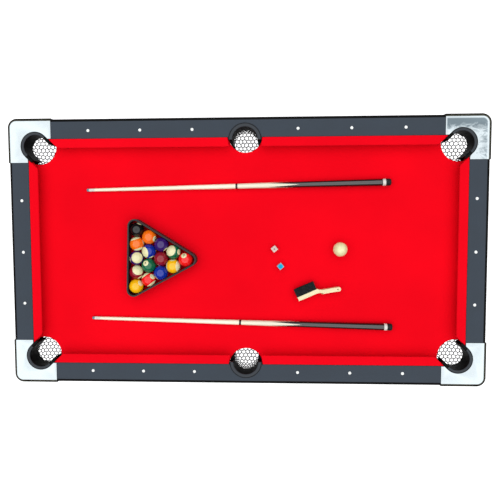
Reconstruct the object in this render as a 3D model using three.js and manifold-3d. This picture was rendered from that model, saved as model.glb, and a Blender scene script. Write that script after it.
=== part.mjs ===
// Folding home pool table with its playing set, in millimetres, +Z up.
// The origin is on the floor under the middle of the table, +X runs to the head end.

import * as THREE from 'three';
import { mergeVertices } from 'three/addons/utils/BufferGeometryUtils.js';
import Module from 'manifold-3d';

const wasm = await Module();
wasm.setup();

// ---- Driving dimensions ------------------------------------------------------------------------

const BALL_RADIUS = 57.15 / 2;
const PLAY_LENGTH = 1662; // between the cushion noses
const PLAY_WIDTH = PLAY_LENGTH / 2;
const CUSHION_WIDTH = 37; // rail face to nose
const RAIL_WIDTH = 78;
const RAIL_TOP = 800;
const CAP_PROUD = 4; // how far the corner caps stand outside the rails
const GAP = 0.3; // between pieces that touch

const HALF_X = PLAY_LENGTH / 2 + CUSHION_WIDTH + RAIL_WIDTH; // outer faces of the rails
const HALF_Y = PLAY_WIDTH / 2 + CUSHION_WIDTH + RAIL_WIDTH;

const CLOTH_TOP = RAIL_TOP - 42;
const CLOTH_THICK = 1.2;
const BOARD_TOP = CLOTH_TOP - CLOTH_THICK - GAP;
const BOARD_THICK = 18;
const BOARD_BOTTOM = BOARD_TOP - BOARD_THICK;
const UNDERSIDE = BOARD_BOTTOM - GAP; // top of everything that hangs under the bed
const NOSE_HEIGHT = 0.635 * 2 * BALL_RADIUS; // above the cloth

const FASCIA_THICK = 16; // lip of the rail that hides the edge of the bed board
const FASCIA_BOTTOM = RAIL_TOP - 64;
const RAIL_ROUND = 8;
const APRON_THICK = 14;
const APRON_BOTTOM = 690;

const CAP_SIZE = 172.5; // along each rail, from the outer corner of the rails
const CAP_THICK = 2.7;
const CAP_TOP = RAIL_TOP + GAP + CAP_THICK;
const CAP_BOTTOM = FASCIA_BOTTOM - 2;
const CAP_CORNER_RADIUS = 37;
const CAP_EDGE = 3; // the cap steps in by this much round its outer edge

// A pocket is set in from the rails' outer faces. Its arms run from the ring to the cushion ends.
const CORNER_POCKET = { inset: 107, radius: 57, lip: 13, arm: 34, holeInset: 105, holeRadius: 72 };
const SIDE_POCKET = { inset: 88, radius: 65, lip: 16, arm: 0, holeInset: 65.5, holeRadius: 70 };
const LINER_TOP = CAP_TOP + 1;
const LIP_DEPTH = 12;
const LINER_BOTTOM = RAIL_TOP - 78;
const LINER_WALL = 4;
const SIDE_MOUTH = { back: 68, front: 63 }; // half-width at the rail face and at the nose
const NET_BOTTOM = 640;
const NET_WALL = 2;
const NET_SIDES = 12;
const CORNER_NET = { inset: CORNER_POCKET.holeInset, mouth: 74, floor: 54 };
const SIDE_NET = { inset: 89.8, mouth: 59, floor: 51 };

const PIVOT = { x: 725, z: 650 }; // fold axis of a leg frame
const PIVOT_TUBE_RADIUS = 15;
const TUBE_WALL = 2;
const LEG_TUBE = 45;
const LEG_Y = 452.5;
const CROSSBAR = 25;
const FOOT_HEIGHT = 8;
const FOOT_RADIUS = 20;
const STEM_RADIUS = 5;
const STEM_LENGTH = 34;
const LEG_BOTTOM = FOOT_HEIGHT + GAP;
const BRACKET = { y: 385, width: 40, wall: 8, flange: 68, flangeThick: 5, upright: 24 };
const CROSSBAR_DROP = 300; // leg pivot to crossbar, along the leg
const BEAM = { x0: 470, x1: 530, bottom: 695 };

const BRACE_DROP = 240; // leg pivot to brace pin, along the leg
const LINK_WIDTH = 16;
const LINK_THICK = 4;
const LAYER = LINK_THICK + GAP; // from one brace plate to the next, along Y
const PIN_RADIUS = 4;
const PIN_HEAD = { radius: 6.4, height: 3 };

const CUE_LENGTH = 1220;
const CUE_TIP_RADIUS = 6.2;
const CUE_BUTT_RADIUS = 14;
const CUE_PIN = { radius: 3.7, length: 28 };
const TRIANGLE = { clearance: 1, wall: 6.5, corner: 28, height: 44 };
const RACK = { x: -373, y: -26, turn: THREE.MathUtils.degToRad(-1.7) };
const CHALK = { size: 21, turn: 40, dishRadius: 20, dishDepth: 2.5 };
const BRUSH_TURN = 23.7;

const FACETS = 24; // sides of a turned piece of middling size
const ARC_STEPS = 7; // half the segments in one arc of an outline

// ---- Materials ---------------------------------------------------------------------------------

function material(color, roughness, metalness = 0) {
  return new THREE.MeshStandardMaterial({ color, roughness, metalness });
}

const MATERIALS = {
  cloth: material(0xf00a1e, 0.95),
  laminate: material(0x485058, 0.5),
  board: material(0x141517, 0.6),
  chrome: material(0xdfe6ec, 0.15, 1),
  liner: material(0x1c1d20, 0.55),
  net: material(0xd9dbdd, 0.9),
  steel: material(0x17181a, 0.45, 0.6),
  foot: material(0x0e0e0f, 0.8),
  maple: material(0xf1e2bb, 0.35),
  stain: material(0x0b0b0d, 0.2),
  triangle: material(0x0d0d0f, 0.5),
  resin: material(0xefe3c4, 0.1),
  chalkWhite: material(0xe8d9d2, 0.9),
  chalkBlue: material(0x1fb6e8, 0.9),
  brush: material(0xf2e6b8, 0.5),
};

// ---- Solids ------------------------------------------------------------------------------------

function solid(geometry) {
  const bare = new THREE.BufferGeometry();
  bare.setAttribute('position', geometry.getAttribute('position').clone());
  if (geometry.index) bare.setIndex(geometry.index.clone());
  const merged = mergeVertices(bare, 1e-4);
  const index = merged.index.array;
  const kept = [];
  for (let i = 0; i < index.length; i += 3) {
    const [a, b, c] = index.slice(i, i + 3);
    if (a !== b && b !== c && c !== a) kept.push(a, b, c);
  }
  return new wasm.Manifold(new wasm.Mesh({
    numProp: 3,
    vertProperties: new Float32Array(merged.getAttribute('position').array),
    triVerts: new Uint32Array(kept),
  }));
}

function join(...solids) {
  return solids.reduce((whole, piece) => whole.add(piece));
}

function cut(base, ...tools) {
  return tools.reduce((rest, tool) => rest.subtract(tool), base);
}

function named(name, shape, look) {
  const mesh = shape.getMesh();
  const geometry = new THREE.BufferGeometry();
  geometry.setAttribute('position', new THREE.BufferAttribute(mesh.vertProperties, 3));
  geometry.setIndex(new THREE.BufferAttribute(mesh.triVerts, 1));
  geometry.computeVertexNormals();
  const node = new THREE.Mesh(geometry, look);
  node.name = name;
  return node;
}

// An outline in the XY plane, raised from z0 to z1.
function plate(shape, z0, z1, steps = ARC_STEPS) {
  const geometry = new THREE.ExtrudeGeometry(shape, {
    depth: z1 - z0,
    bevelEnabled: false,
    curveSegments: steps,
  });
  geometry.translate(0, 0, z0);
  return solid(geometry);
}

// An outline drawn in X and Z, run along Y from y0 to y1.
function profilePlate(shape, y0, y1) {
  const geometry = new THREE.ExtrudeGeometry(shape, {
    depth: y1 - y0,
    bevelEnabled: false,
    curveSegments: 5,
  });
  geometry.rotateX(Math.PI / 2);
  geometry.translate(0, y1, 0);
  return solid(geometry);
}

function box(x0, x1, y0, y1, z0, z1) {
  const geometry = new THREE.BoxGeometry(x1 - x0, y1 - y0, z1 - z0);
  geometry.translate((x0 + x1) / 2, (y0 + y1) / 2, (z0 + z1) / 2);
  return solid(geometry);
}

function rod(axis, radius, from, to, centre = [0, 0, 0], facets = FACETS) {
  const geometry = new THREE.CylinderGeometry(radius, radius, to - from, facets);
  geometry.translate(0, (from + to) / 2, 0);
  if (axis === 'x') geometry.rotateZ(-Math.PI / 2);
  if (axis === 'z') geometry.rotateX(Math.PI / 2);
  geometry.translate(...centre);
  return solid(geometry);
}

// A turned piece about +Z, from a profile of points [radius, z] that closes on the axis.
function turnedUpright(profile, facets = FACETS) {
  const points = profile.map(([radius, z]) => new THREE.Vector2(radius, z));
  const geometry = new THREE.LatheGeometry(points, facets);
  geometry.rotateX(Math.PI / 2);
  return solid(geometry);
}

function polygon(points) {
  return new THREE.Shape(points.map(([x, y]) => new THREE.Vector2(x, y)));
}

// A rectangle with its own radius at each corner, anticlockwise from (x0, y0).
function roundedRectangle(x0, y0, x1, y1, [r00, r10, r11, r01]) {
  const shape = new THREE.Shape();
  shape.moveTo(x0 + r00, y0);
  shape.lineTo(x1 - r10, y0);
  if (r10) shape.absarc(x1 - r10, y0 + r10, r10, -Math.PI / 2, 0);
  shape.lineTo(x1, y1 - r11);
  if (r11) shape.absarc(x1 - r11, y1 - r11, r11, 0, Math.PI / 2);
  shape.lineTo(x0 + r01, y1);
  if (r01) shape.absarc(x0 + r01, y1 - r01, r01, Math.PI / 2, Math.PI);
  shape.lineTo(x0, y0 + r00);
  if (r00) shape.absarc(x0 + r00, y0 + r00, r00, Math.PI, Math.PI * 1.5);
  return shape;
}

// Everything at one corner is drawn for the corner at +X +Y, from the rails' outer corner with the
// table towards -X -Y, and turned a quarter at a time. Both rails there are alike.
const CORNERS = [
  { name: 'head_back', x: HALF_X, y: HALF_Y, turn: 0 },
  { name: 'foot_back', x: -HALF_X, y: HALF_Y, turn: Math.PI / 2 },
  { name: 'foot_front', x: -HALF_X, y: -HALF_Y, turn: Math.PI },
  { name: 'head_front', x: HALF_X, y: -HALF_Y, turn: -Math.PI / 2 },
];

// Everything along one side is drawn for the back, with outward towards +Y, and turned.
const SIDES = [
  { name: 'back', turn: 0, across: HALF_Y, reach: HALF_X, plus: 'head', minus: 'foot' },
  { name: 'foot', turn: Math.PI / 2, across: HALF_X, reach: HALF_Y },
  { name: 'front', turn: Math.PI, across: HALF_Y, reach: HALF_X, plus: 'foot', minus: 'head' },
  { name: 'head', turn: -Math.PI / 2, across: HALF_X, reach: HALF_Y },
];
const LONG_SIDES = SIDES.filter((side) => side.plus);

function atCorner(shape, corner) {
  return shape.rotate(0, 0, THREE.MathUtils.radToDeg(corner.turn)).translate(corner.x, corner.y, 0);
}

function atSide(shape, side) {
  return shape.rotate(0, 0, THREE.MathUtils.radToDeg(side.turn));
}

// A pocket outline with its mouth towards -Y: a half circle, and arms that run on by arm.
function pocketOutline(radius, arm) {
  const shape = new THREE.Shape();
  shape.moveTo(-radius, -arm);
  shape.lineTo(radius, -arm);
  shape.absarc(0, 0, radius, 0, Math.PI);
  return shape;
}

function toCornerPocket(shape) {
  return shape.rotate(0, 0, -45).translate(-CORNER_POCKET.inset, -CORNER_POCKET.inset, 0);
}

function toSidePocket(shape, side) {
  return atSide(shape.translate(0, side.across - SIDE_POCKET.inset, 0), side);
}

// The room that a pocket takes out of a rail or cap, open towards the bed.
function pocketSlot(pocket) {
  const mouth = pocket.radius + RAIL_WIDTH;
  return plate(pocketOutline(pocket.radius + GAP, mouth), CAP_BOTTOM - 1, LINER_TOP + 1);
}

function cornerSlots() {
  const slot = toCornerPocket(pocketSlot(CORNER_POCKET));
  return CORNERS.map((corner) => atCorner(slot, corner));
}

function holePlug(radius) {
  return rod('z', radius, BOARD_BOTTOM - 1, CLOTH_TOP + 1);
}

// The round holes through the bed board and its cloth.
function bedHoles() {
  const corners = CORNERS.map((corner) => {
    const hole = holePlug(CORNER_POCKET.holeRadius);
    const { holeInset } = CORNER_POCKET;
    return atCorner(hole.translate(-holeInset, -holeInset, 0), corner);
  });
  const sides = LONG_SIDES.map((side) => {
    const hole = holePlug(SIDE_POCKET.holeRadius);
    return atSide(hole.translate(0, side.across - SIDE_POCKET.holeInset, 0), side);
  });
  return [...corners, ...sides];
}

// ---- Bed ---------------------------------------------------------------------------------------

const table = new THREE.Group();

function bedBoard() {
  const x = HALF_X - FASCIA_THICK - GAP;
  const y = HALF_Y - FASCIA_THICK - GAP;
  return cut(box(-x, x, -y, y, BOARD_BOTTOM, BOARD_TOP), ...bedHoles());
}

function bedCloth() {
  const x = HALF_X - RAIL_WIDTH - GAP;
  const y = HALF_Y - RAIL_WIDTH - GAP;
  return cut(box(-x, x, -y, y, CLOTH_TOP - CLOTH_THICK, CLOTH_TOP), ...bedHoles());
}

// ---- Rails and cushions ------------------------------------------------------------------------

// A profile of points [inward, z], where inward is measured from the rail's outer face, run along
// the side at +Y. from(inward) and to(inward) place its ends, so each end can be cut at an angle.
function sideSweep(profile, side, from, to) {
  const geometry = new THREE.ExtrudeGeometry(polygon(profile), { depth: 1, bevelEnabled: false });
  const points = geometry.getAttribute('position');
  for (let i = 0; i < points.count; i += 1) {
    const inward = points.getX(i);
    const z = points.getY(i);
    const along = THREE.MathUtils.lerp(to(inward), from(inward), points.getZ(i));
    points.setXYZ(i, along, side.across - inward, z);
  }
  return solid(geometry);
}

function railProfile() {
  const seat = BOARD_TOP + GAP;
  const profile = [
    [0, FASCIA_BOTTOM],
    [FASCIA_THICK, FASCIA_BOTTOM],
    [FASCIA_THICK, seat],
    [RAIL_WIDTH, seat],
    [RAIL_WIDTH, RAIL_TOP],
  ];
  const steps = 5;
  for (let i = 0; i <= steps; i += 1) {
    const angle = (i / steps) * (Math.PI / 2);
    const inward = RAIL_ROUND * (1 - Math.sin(angle));
    const z = RAIL_TOP - RAIL_ROUND * (1 - Math.cos(angle));
    profile.push([inward, z]);
  }
  return profile;
}

function rail(side) {
  const mitre = (inward) => side.reach - inward - GAP / 2;
  let shape = sideSweep(railProfile(), side, (inward) => -mitre(inward), mitre);
  shape = atSide(shape, side);
  const round = CAP_CORNER_RADIUS - CAP_PROUD;
  const outline = roundedRectangle(-HALF_X, -HALF_Y, HALF_X, HALF_Y, [round, round, round, round]);
  shape = shape.intersect(plate(outline, FASCIA_BOTTOM - 1, RAIL_TOP + 1));
  shape = cut(shape, ...cornerSlots());
  if (side.plus) shape = cut(shape, toSidePocket(pocketSlot(SIDE_POCKET), side));
  return shape;
}

// The rubber cushion in its cloth: a flat top, a nose and an undercut face.
function cushionProfile() {
  const face = RAIL_WIDTH + GAP;
  const nose = RAIL_WIDTH + CUSHION_WIDTH;
  const noseZ = CLOTH_TOP + NOSE_HEIGHT;
  const heel = { width: 9, z: CLOTH_TOP + 6 };
  return [
    [face, heel.z],
    [face + heel.width, heel.z],
    [nose - 6, noseZ - 6],
    [nose - 1, noseZ - 2.6],
    [nose, noseZ],
    [nose - 1, noseZ + 2],
    [nose - 5, noseZ + 3.4],
    [face, RAIL_TOP - 0.8],
  ];
}

function cornerEnd(side) {
  const clearance = Math.SQRT2 * (CORNER_POCKET.radius + 2 * GAP);
  return (inward) => side.reach - inward - clearance;
}

function cushions(side) {
  const corner = cornerEnd(side);
  const slope = (SIDE_MOUTH.back - SIDE_MOUTH.front) / CUSHION_WIDTH;
  const mouth = (inward) => SIDE_MOUTH.back - (inward - RAIL_WIDTH) * slope;
  const profile = cushionProfile();
  if (!side.plus) {
    const whole = sideSweep(profile, side, (inward) => -corner(inward), corner);
    return [[`cushion_${side.name}`, atSide(whole, side)]];
  }
  const plus = sideSweep(profile, side, mouth, corner);
  const minus = sideSweep(profile, side, (inward) => -corner(inward), (inward) => -mouth(inward));
  return [
    [`cushion_${side.name}_${side.plus}`, atSide(plus, side)],
    [`cushion_${side.name}_${side.minus}`, atSide(minus, side)],
  ];
}

// ---- Corner caps -------------------------------------------------------------------------------

// One layer of the cap, drawn back from its outer faces by inset.
function capLayer(inset, z0, z1) {
  const edge = CAP_PROUD - inset;
  const round = CAP_CORNER_RADIUS - inset;
  return plate(roundedRectangle(-CAP_SIZE, -CAP_SIZE, edge, edge, [0, 0, round, 0]), z0, z1);
}

function cornerCap(corner) {
  const edgeBottom = CAP_TOP - CAP_EDGE;
  const step = CAP_EDGE * 0.3;
  let shape = capLayer(0, CAP_BOTTOM, edgeBottom);
  shape = join(shape, capLayer(step, edgeBottom, CAP_TOP - step));
  shape = join(shape, capLayer(CAP_EDGE, CAP_TOP - step, CAP_TOP));
  shape = cut(shape, capLayer(CAP_PROUD - GAP, CAP_BOTTOM - 1, RAIL_TOP + GAP));
  const bed = -RAIL_WIDTH;
  shape = cut(shape, box(-CAP_SIZE - 1, bed, -CAP_SIZE - 1, bed, CAP_BOTTOM - 1, CAP_TOP + 1));
  shape = cut(shape, toCornerPocket(pocketSlot(CORNER_POCKET)));
  return atCorner(shape, corner);
}

// ---- Pockets -----------------------------------------------------------------------------------

// A U-shaped liner: a broad lip round the top and a thin wall down through the bed.
function pocketLiner(pocket) {
  const inner = pocket.radius - pocket.lip;
  const lipBottom = LINER_TOP - LIP_DEPTH;
  const lip = plate(pocketOutline(pocket.radius, pocket.arm), lipBottom, LINER_TOP);
  const wall = plate(pocketOutline(inner + LINER_WALL, pocket.arm), LINER_BOTTOM, lipBottom);
  const room = plate(pocketOutline(inner, pocket.arm + 1), LINER_BOTTOM - 1, LINER_TOP + 1);
  return cut(join(lip, wall), room);
}

// A pocket net as the many-sided cup that it hangs in, open at the top. Its radii are across the
// flats, and a flat faces the rail.
function pocketNet(net) {
  const profile = [
    [0, NET_BOTTOM],
    [net.floor, NET_BOTTOM],
    [net.mouth, UNDERSIDE],
    [net.mouth - NET_WALL, UNDERSIDE],
    [net.floor - NET_WALL, NET_BOTTOM + NET_WALL],
    [0, NET_BOTTOM + NET_WALL],
  ];
  const toCorner = 1 / Math.cos(Math.PI / NET_SIDES);
  const cup = turnedUpright(profile.map(([radius, z]) => [radius * toCorner, z]), NET_SIDES);
  return cup.rotate(0, 0, 180 / NET_SIDES);
}

function cornerPocket(corner) {
  const liner = atCorner(toCornerPocket(pocketLiner(CORNER_POCKET)), corner);
  const { inset } = CORNER_NET;
  const net = atCorner(pocketNet(CORNER_NET).translate(-inset, -inset, 0), corner);
  return [liner, net];
}

function sidePocket(side) {
  const liner = toSidePocket(pocketLiner(SIDE_POCKET), side);
  const net = atSide(pocketNet(SIDE_NET).translate(0, side.across - SIDE_NET.inset, 0), side);
  return [liner, net];
}

// ---- Aprons and beams --------------------------------------------------------------------------

function apron(side) {
  const outer = side.across - FASCIA_THICK - GAP;
  const inner = outer - APRON_THICK;
  const corner = side.reach - FASCIA_THICK - GAP;
  const half = side.plus ? corner - APRON_THICK - GAP : corner;
  return atSide(box(-half, half, inner, outer, APRON_BOTTOM, UNDERSIDE), side);
}

function crossBeam() {
  const half = HALF_Y - FASCIA_THICK - APRON_THICK - 2 * GAP;
  return box(BEAM.x0, BEAM.x1, -half, half, BEAM.bottom, UNDERSIDE);
}

// ---- Folding legs, drawn for the head end ------------------------------------------------------

const BRACE_PIN = { x: PIVOT.x, z: PIVOT.z - BRACE_DROP };
const ANCHOR_PIN = { x: PIVOT.x - BRACE_DROP, z: PIVOT.z };
const KNEE = { x: (BRACE_PIN.x + ANCHOR_PIN.x) / 2, z: (BRACE_PIN.z + ANCHOR_PIN.z) / 2 };

// The low Y face of a brace plate, counted inwards from the face of the leg: 1 is the lower link,
// 2 the upper link and 3 the anchor's ear.
function layerY(number) {
  return LEG_Y - LEG_TUBE / 2 - number * LAYER;
}

// A square tube's outside, or with a wall its room inside. centre and half are along each axis.
function tube(centre, half, wall) {
  const [x, y, z] = centre;
  const [u, v, w] = half.map((size) => size - wall);
  return box(x - u, x + u, y - v, y + v, z - w, z + w);
}

// One welding: two legs, the crossbar between them and the tube that they fold about.
function legFrame() {
  const half = LEG_TUBE / 2;
  const barHalf = CROSSBAR / 2;
  const legHalf = (PIVOT.z + half - LEG_BOTTOM) / 2;
  const end = LEG_Y + half + 4;
  const pivot = [PIVOT.x, 0, PIVOT.z];
  const bar = [[PIVOT.x, 0, PIVOT.z - CROSSBAR_DROP], [barHalf, LEG_Y, barHalf]];
  let outer = join(rod('y', PIVOT_TUBE_RADIUS, -end, end, pivot), tube(...bar, 0));
  let inner = rod('y', PIVOT_TUBE_RADIUS - TUBE_WALL, -end - 1, end + 1, pivot);
  inner = join(inner, tube(...bar, TUBE_WALL));
  for (const y of [-LEG_Y, LEG_Y]) {
    const leg = [[PIVOT.x, y, LEG_BOTTOM + legHalf], [half, half, legHalf]];
    const socket = rod('z', STEM_RADIUS + GAP, LEG_BOTTOM - 1, LEG_BOTTOM + 9, [PIVOT.x, y, 0]);
    outer = join(outer, tube(...leg, 0));
    inner = join(inner, tube(...leg, TUBE_WALL), socket);
  }
  return cut(outer, inner);
}

// A flange under the bed, with an eye for the pivot tube.
function legBracket(y) {
  const y0 = y - BRACKET.width / 2;
  const y1 = y + BRACKET.width / 2;
  const centre = [PIVOT.x, 0, PIVOT.z];
  const wide = BRACKET.flange / 2;
  const narrow = BRACKET.upright / 2;
  const under = UNDERSIDE - BRACKET.flangeThick;
  const flange = box(PIVOT.x - wide, PIVOT.x + wide, y0, y1, under, UNDERSIDE);
  const upright = box(PIVOT.x - narrow, PIVOT.x + narrow, y0, y1, PIVOT.z, under);
  const ring = rod('y', PIVOT_TUBE_RADIUS + BRACKET.wall, y0, y1, centre);
  const bore = rod('y', PIVOT_TUBE_RADIUS + GAP, y0 - 1, y1 + 1, centre);
  return cut(join(flange, upright, ring), bore);
}

// A foot on a threaded stem, screwed up against the end of its leg.
function leveler(y) {
  const shape = turnedUpright([
    [0, 0],
    [FOOT_RADIUS - 2, 0],
    [FOOT_RADIUS, 2],
    [FOOT_RADIUS, 5],
    [FOOT_RADIUS - 7, FOOT_HEIGHT],
    [STEM_RADIUS, FOOT_HEIGHT],
    [STEM_RADIUS, FOOT_HEIGHT + STEM_LENGTH],
    [0, FOOT_HEIGHT + STEM_LENGTH],
  ]);
  return shape.translate(PIVOT.x, y, 0);
}

// A flat bar between two points, round at both ends.
function linkBar(from, to, layer) {
  const angle = Math.atan2(to.z - from.z, to.x - from.x);
  const radius = LINK_WIDTH / 2;
  const shape = new THREE.Shape();
  shape.absarc(from.x, from.z, radius, angle + Math.PI / 2, angle + Math.PI * 1.5);
  shape.absarc(to.x, to.z, radius, angle - Math.PI / 2, angle + Math.PI / 2);
  return profilePlate(shape, layerY(layer), layerY(layer) + LINK_THICK);
}

function pinHole(point, layer) {
  const y = layerY(layer);
  return rod('y', PIN_RADIUS + GAP, y - 1, y + LINK_THICK + 1, [point.x, 0, point.z]);
}

// A pin from the inner face of one layer out to the outer face of another, headed inside.
function headedPin(point, innerLayer, outerLayer) {
  const centre = [point.x, 0, point.z];
  const inside = layerY(innerLayer);
  const shank = rod('y', PIN_RADIUS, inside, layerY(outerLayer) + LINK_THICK, centre);
  return join(shank, rod('y', PIN_HEAD.radius, inside - PIN_HEAD.height, inside, centre));
}

// The upper link carries the rivet of the knee.
function braceUpper() {
  const bar = cut(linkBar(ANCHOR_PIN, KNEE, 2), pinHole(ANCHOR_PIN, 2));
  return join(bar, headedPin(KNEE, 2, 1));
}

function braceLower() {
  return cut(linkBar(KNEE, BRACE_PIN, 1), pinHole(KNEE, 1), pinHole(BRACE_PIN, 1));
}

// A foot plate under the cross beam, with an ear that holds the brace's top pin.
function braceAnchor() {
  const y0 = layerY(3);
  const y1 = y0 + LINK_THICK;
  const top = BEAM.bottom - GAP;
  const earRadius = 10;
  const margin = 5;
  const foot = box(BEAM.x0 + margin, BEAM.x1 - margin, y0 - 36, y1, top - 4, top);
  const web = box(BEAM.x0 + margin, ANCHOR_PIN.x + earRadius, y0, y1, ANCHOR_PIN.z, top);
  const ear = rod('y', earRadius, y0, y1, [ANCHOR_PIN.x, 0, ANCHOR_PIN.z]);
  return join(foot, web, ear, headedPin(ANCHOR_PIN, 3, 2));
}

// Each end has the same leg set. The foot end's is the head end's, turned half round.
function legSet(end, turned) {
  const pieces = [
    [`leg_frame_${end}`, legFrame(), MATERIALS.steel],
    [`brace_upper_${end}`, braceUpper(), MATERIALS.steel],
    [`brace_lower_${end}`, braceLower(), MATERIALS.steel],
    [`brace_anchor_${end}`, braceAnchor(), MATERIALS.steel],
    [`cross_beam_${end}`, crossBeam(), MATERIALS.board],
  ];
  for (const [side, sign] of [['back', 1], ['front', -1]]) {
    const y = turned ? -sign : sign;
    pieces.push([`leg_bracket_${end}_${side}`, legBracket(y * BRACKET.y), MATERIALS.steel]);
    pieces.push([`leveler_${end}_${side}`, leveler(y * LEG_Y), MATERIALS.foot]);
  }
  const group = new THREE.Group();
  for (const piece of pieces) group.add(named(...piece));
  if (turned) group.rotation.z = Math.PI;
  return group;
}

// ---- Cues --------------------------------------------------------------------------------------

function cueRadius(fromTip) {
  return THREE.MathUtils.lerp(CUE_TIP_RADIUS, CUE_BUTT_RADIUS, fromTip / CUE_LENGTH);
}

// A turned piece along +X, from a profile of points [x, radius] that closes on the axis.
function turned(profile, facets = 20) {
  const points = profile.map(([x, radius]) => new THREE.Vector2(radius, x));
  const geometry = new THREE.LatheGeometry(points, facets);
  geometry.rotateZ(-Math.PI / 2);
  return solid(geometry);
}

// The cue's axis is +X from its tip, and the joint is at half its length.
const CUE_JOINT = CUE_LENGTH / 2;

function cueShaft() {
  const end = CUE_JOINT - GAP;
  const body = turned([[0, 0], [0, 4.2], [2.5, 6], [end, cueRadius(end)], [end, 0]]);
  const bore = rod('x', CUE_PIN.radius + GAP, end - CUE_PIN.length - 2, end + 1);
  return cut(body, bore);
}

function cueButt() {
  const end = CUE_LENGTH;
  const radius = cueRadius(end);
  const pinStart = CUE_JOINT - CUE_PIN.length;
  const pin = [[pinStart, 0], [pinStart, CUE_PIN.radius], [CUE_JOINT, CUE_PIN.radius]];
  const body = [[CUE_JOINT, cueRadius(CUE_JOINT)], [end - 8, radius], [end - 1, radius - 2.5]];
  return turned([...pin, ...body, [end, radius - 4.5], [end, 0]]);
}

// A cue lies on the cloth along the lowest line of its taper.
function cue(number, tipX, tipY, turnDegrees) {
  const group = new THREE.Group();
  group.add(named(`cue_shaft_${number}`, cueShaft(), MATERIALS.maple));
  group.add(named(`cue_butt_${number}`, cueButt(), MATERIALS.stain));
  const taper = Math.asin((CUE_BUTT_RADIUS - CUE_TIP_RADIUS) / CUE_LENGTH);
  group.rotation.set(0, -taper, THREE.MathUtils.degToRad(turnDegrees), 'ZYX');
  group.position.set(tipX, tipY, CLOTH_TOP + GAP + CUE_TIP_RADIUS);
  return group;
}

// ---- Balls and triangle ------------------------------------------------------------------------

const ROW_PITCH = BALL_RADIUS * Math.sqrt(3);

// Ball centres in the rack's own frame, with its apex towards +X and its middle at the origin.
function rackCentres() {
  const centres = [];
  const rows = 5;
  const apex = (8 / 3) * ROW_PITCH;
  for (let row = 0; row < rows; row += 1) {
    for (let place = 0; place <= row; place += 1) {
      centres.push([apex - row * ROW_PITCH, (row - 2 * place) * BALL_RADIUS]);
    }
  }
  return centres;
}

function ball(x, y) {
  const geometry = new THREE.IcosahedronGeometry(BALL_RADIUS, 2);
  geometry.translate(x, y, 0);
  return solid(geometry);
}

// The racked balls as one piece: each ball is tied to one neighbour by a short neck.
function objectBalls() {
  const centres = rackCentres();
  let shape = ball(...centres[0]);
  centres.slice(1).forEach(([x, y]) => {
    const near = centres.find(([u, v]) => u > x - 1 && Math.hypot(u - x, v - y) < 2.1 * BALL_RADIUS
      && (u !== x || v > y));
    const angle = THREE.MathUtils.radToDeg(Math.atan2(near[1] - y, near[0] - x));
    const neck = rod('x', 5, BALL_RADIUS - 6, BALL_RADIUS + 6, [0, 0, 0], 8);
    shape = join(shape, ball(x, y), neck.rotate(0, 0, angle).translate(x, y, 0));
  });
  return shape;
}

// A rounded triangle round the racked balls, offset from the centres of the outermost ones.
function triangleOutline(offset, corner) {
  const shape = new THREE.Shape();
  const reach = (8 / 3) * ROW_PITCH + 2 * (offset - corner);
  for (let i = 0; i < 3; i += 1) {
    const angle = (i * 2 * Math.PI) / 3;
    const x = reach * Math.cos(angle);
    const y = reach * Math.sin(angle);
    shape.absarc(x, y, corner, angle - Math.PI / 3, angle + Math.PI / 3);
  }
  return shape;
}

function triangle() {
  const inner = BALL_RADIUS + TRIANGLE.clearance;
  const outer = inner + TRIANGLE.wall;
  const body = plate(triangleOutline(outer, TRIANGLE.corner), 0, TRIANGLE.height, 8);
  const roomCorner = TRIANGLE.corner - TRIANGLE.wall;
  const room = plate(triangleOutline(inner, roomCorner), -1, TRIANGLE.height + 1, 8);
  return cut(body, room);
}

function rack() {
  const group = new THREE.Group();
  const balls = named('object_balls', objectBalls(), MATERIALS.resin);
  balls.position.z = BALL_RADIUS;
  group.add(balls, named('triangle', triangle(), MATERIALS.triangle));
  group.rotation.z = RACK.turn;
  group.position.set(RACK.x, RACK.y, CLOTH_TOP + GAP);
  return group;
}

function cueBall(x, y) {
  const mesh = named('cue_ball', ball(0, 0), MATERIALS.resin);
  mesh.position.set(x, y, CLOTH_TOP + GAP + BALL_RADIUS);
  return mesh;
}

// ---- Chalk and brush ---------------------------------------------------------------------------

// A cube with a shallow hollow worn in its top.
function chalk(name, look, x, y) {
  const half = CHALK.size / 2;
  const dish = new THREE.IcosahedronGeometry(CHALK.dishRadius, 3);
  dish.translate(0, 0, CHALK.size + CHALK.dishRadius - CHALK.dishDepth);
  const cube = box(-half, half, -half, half, 0, CHALK.size);
  const mesh = named(name, cut(cube, solid(dish)), look);
  mesh.rotation.z = THREE.MathUtils.degToRad(CHALK.turn);
  mesh.position.set(x, y, CLOTH_TOP + GAP);
  return mesh;
}

// The brush's wooden back from (0, 0) along +X, and its handle that bends towards -Y.
function brushOutline(back, handle) {
  const reach = new THREE.Vector2(handle.length, 0).rotateAround(new THREE.Vector2(), handle.bend);
  const tip = reach.add(new THREE.Vector2(back.length, back.thick / 2));
  const off = new THREE.Vector2(0, handle.end).rotateAround(new THREE.Vector2(), handle.bend);
  const outline = new THREE.Shape();
  outline.moveTo(0, 0);
  outline.lineTo(back.length - 14, 0);
  outline.quadraticCurveTo(back.length, -1, back.length + 16, -10);
  outline.lineTo(tip.x - off.x, tip.y - off.y);
  outline.absarc(tip.x, tip.y, handle.end, handle.bend - Math.PI / 2, handle.bend + Math.PI / 2);
  outline.lineTo(back.length + 18, 7);
  outline.quadraticCurveTo(back.length + 6, 9, back.length, back.thick);
  outline.lineTo(2, back.thick);
  return outline;
}

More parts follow.
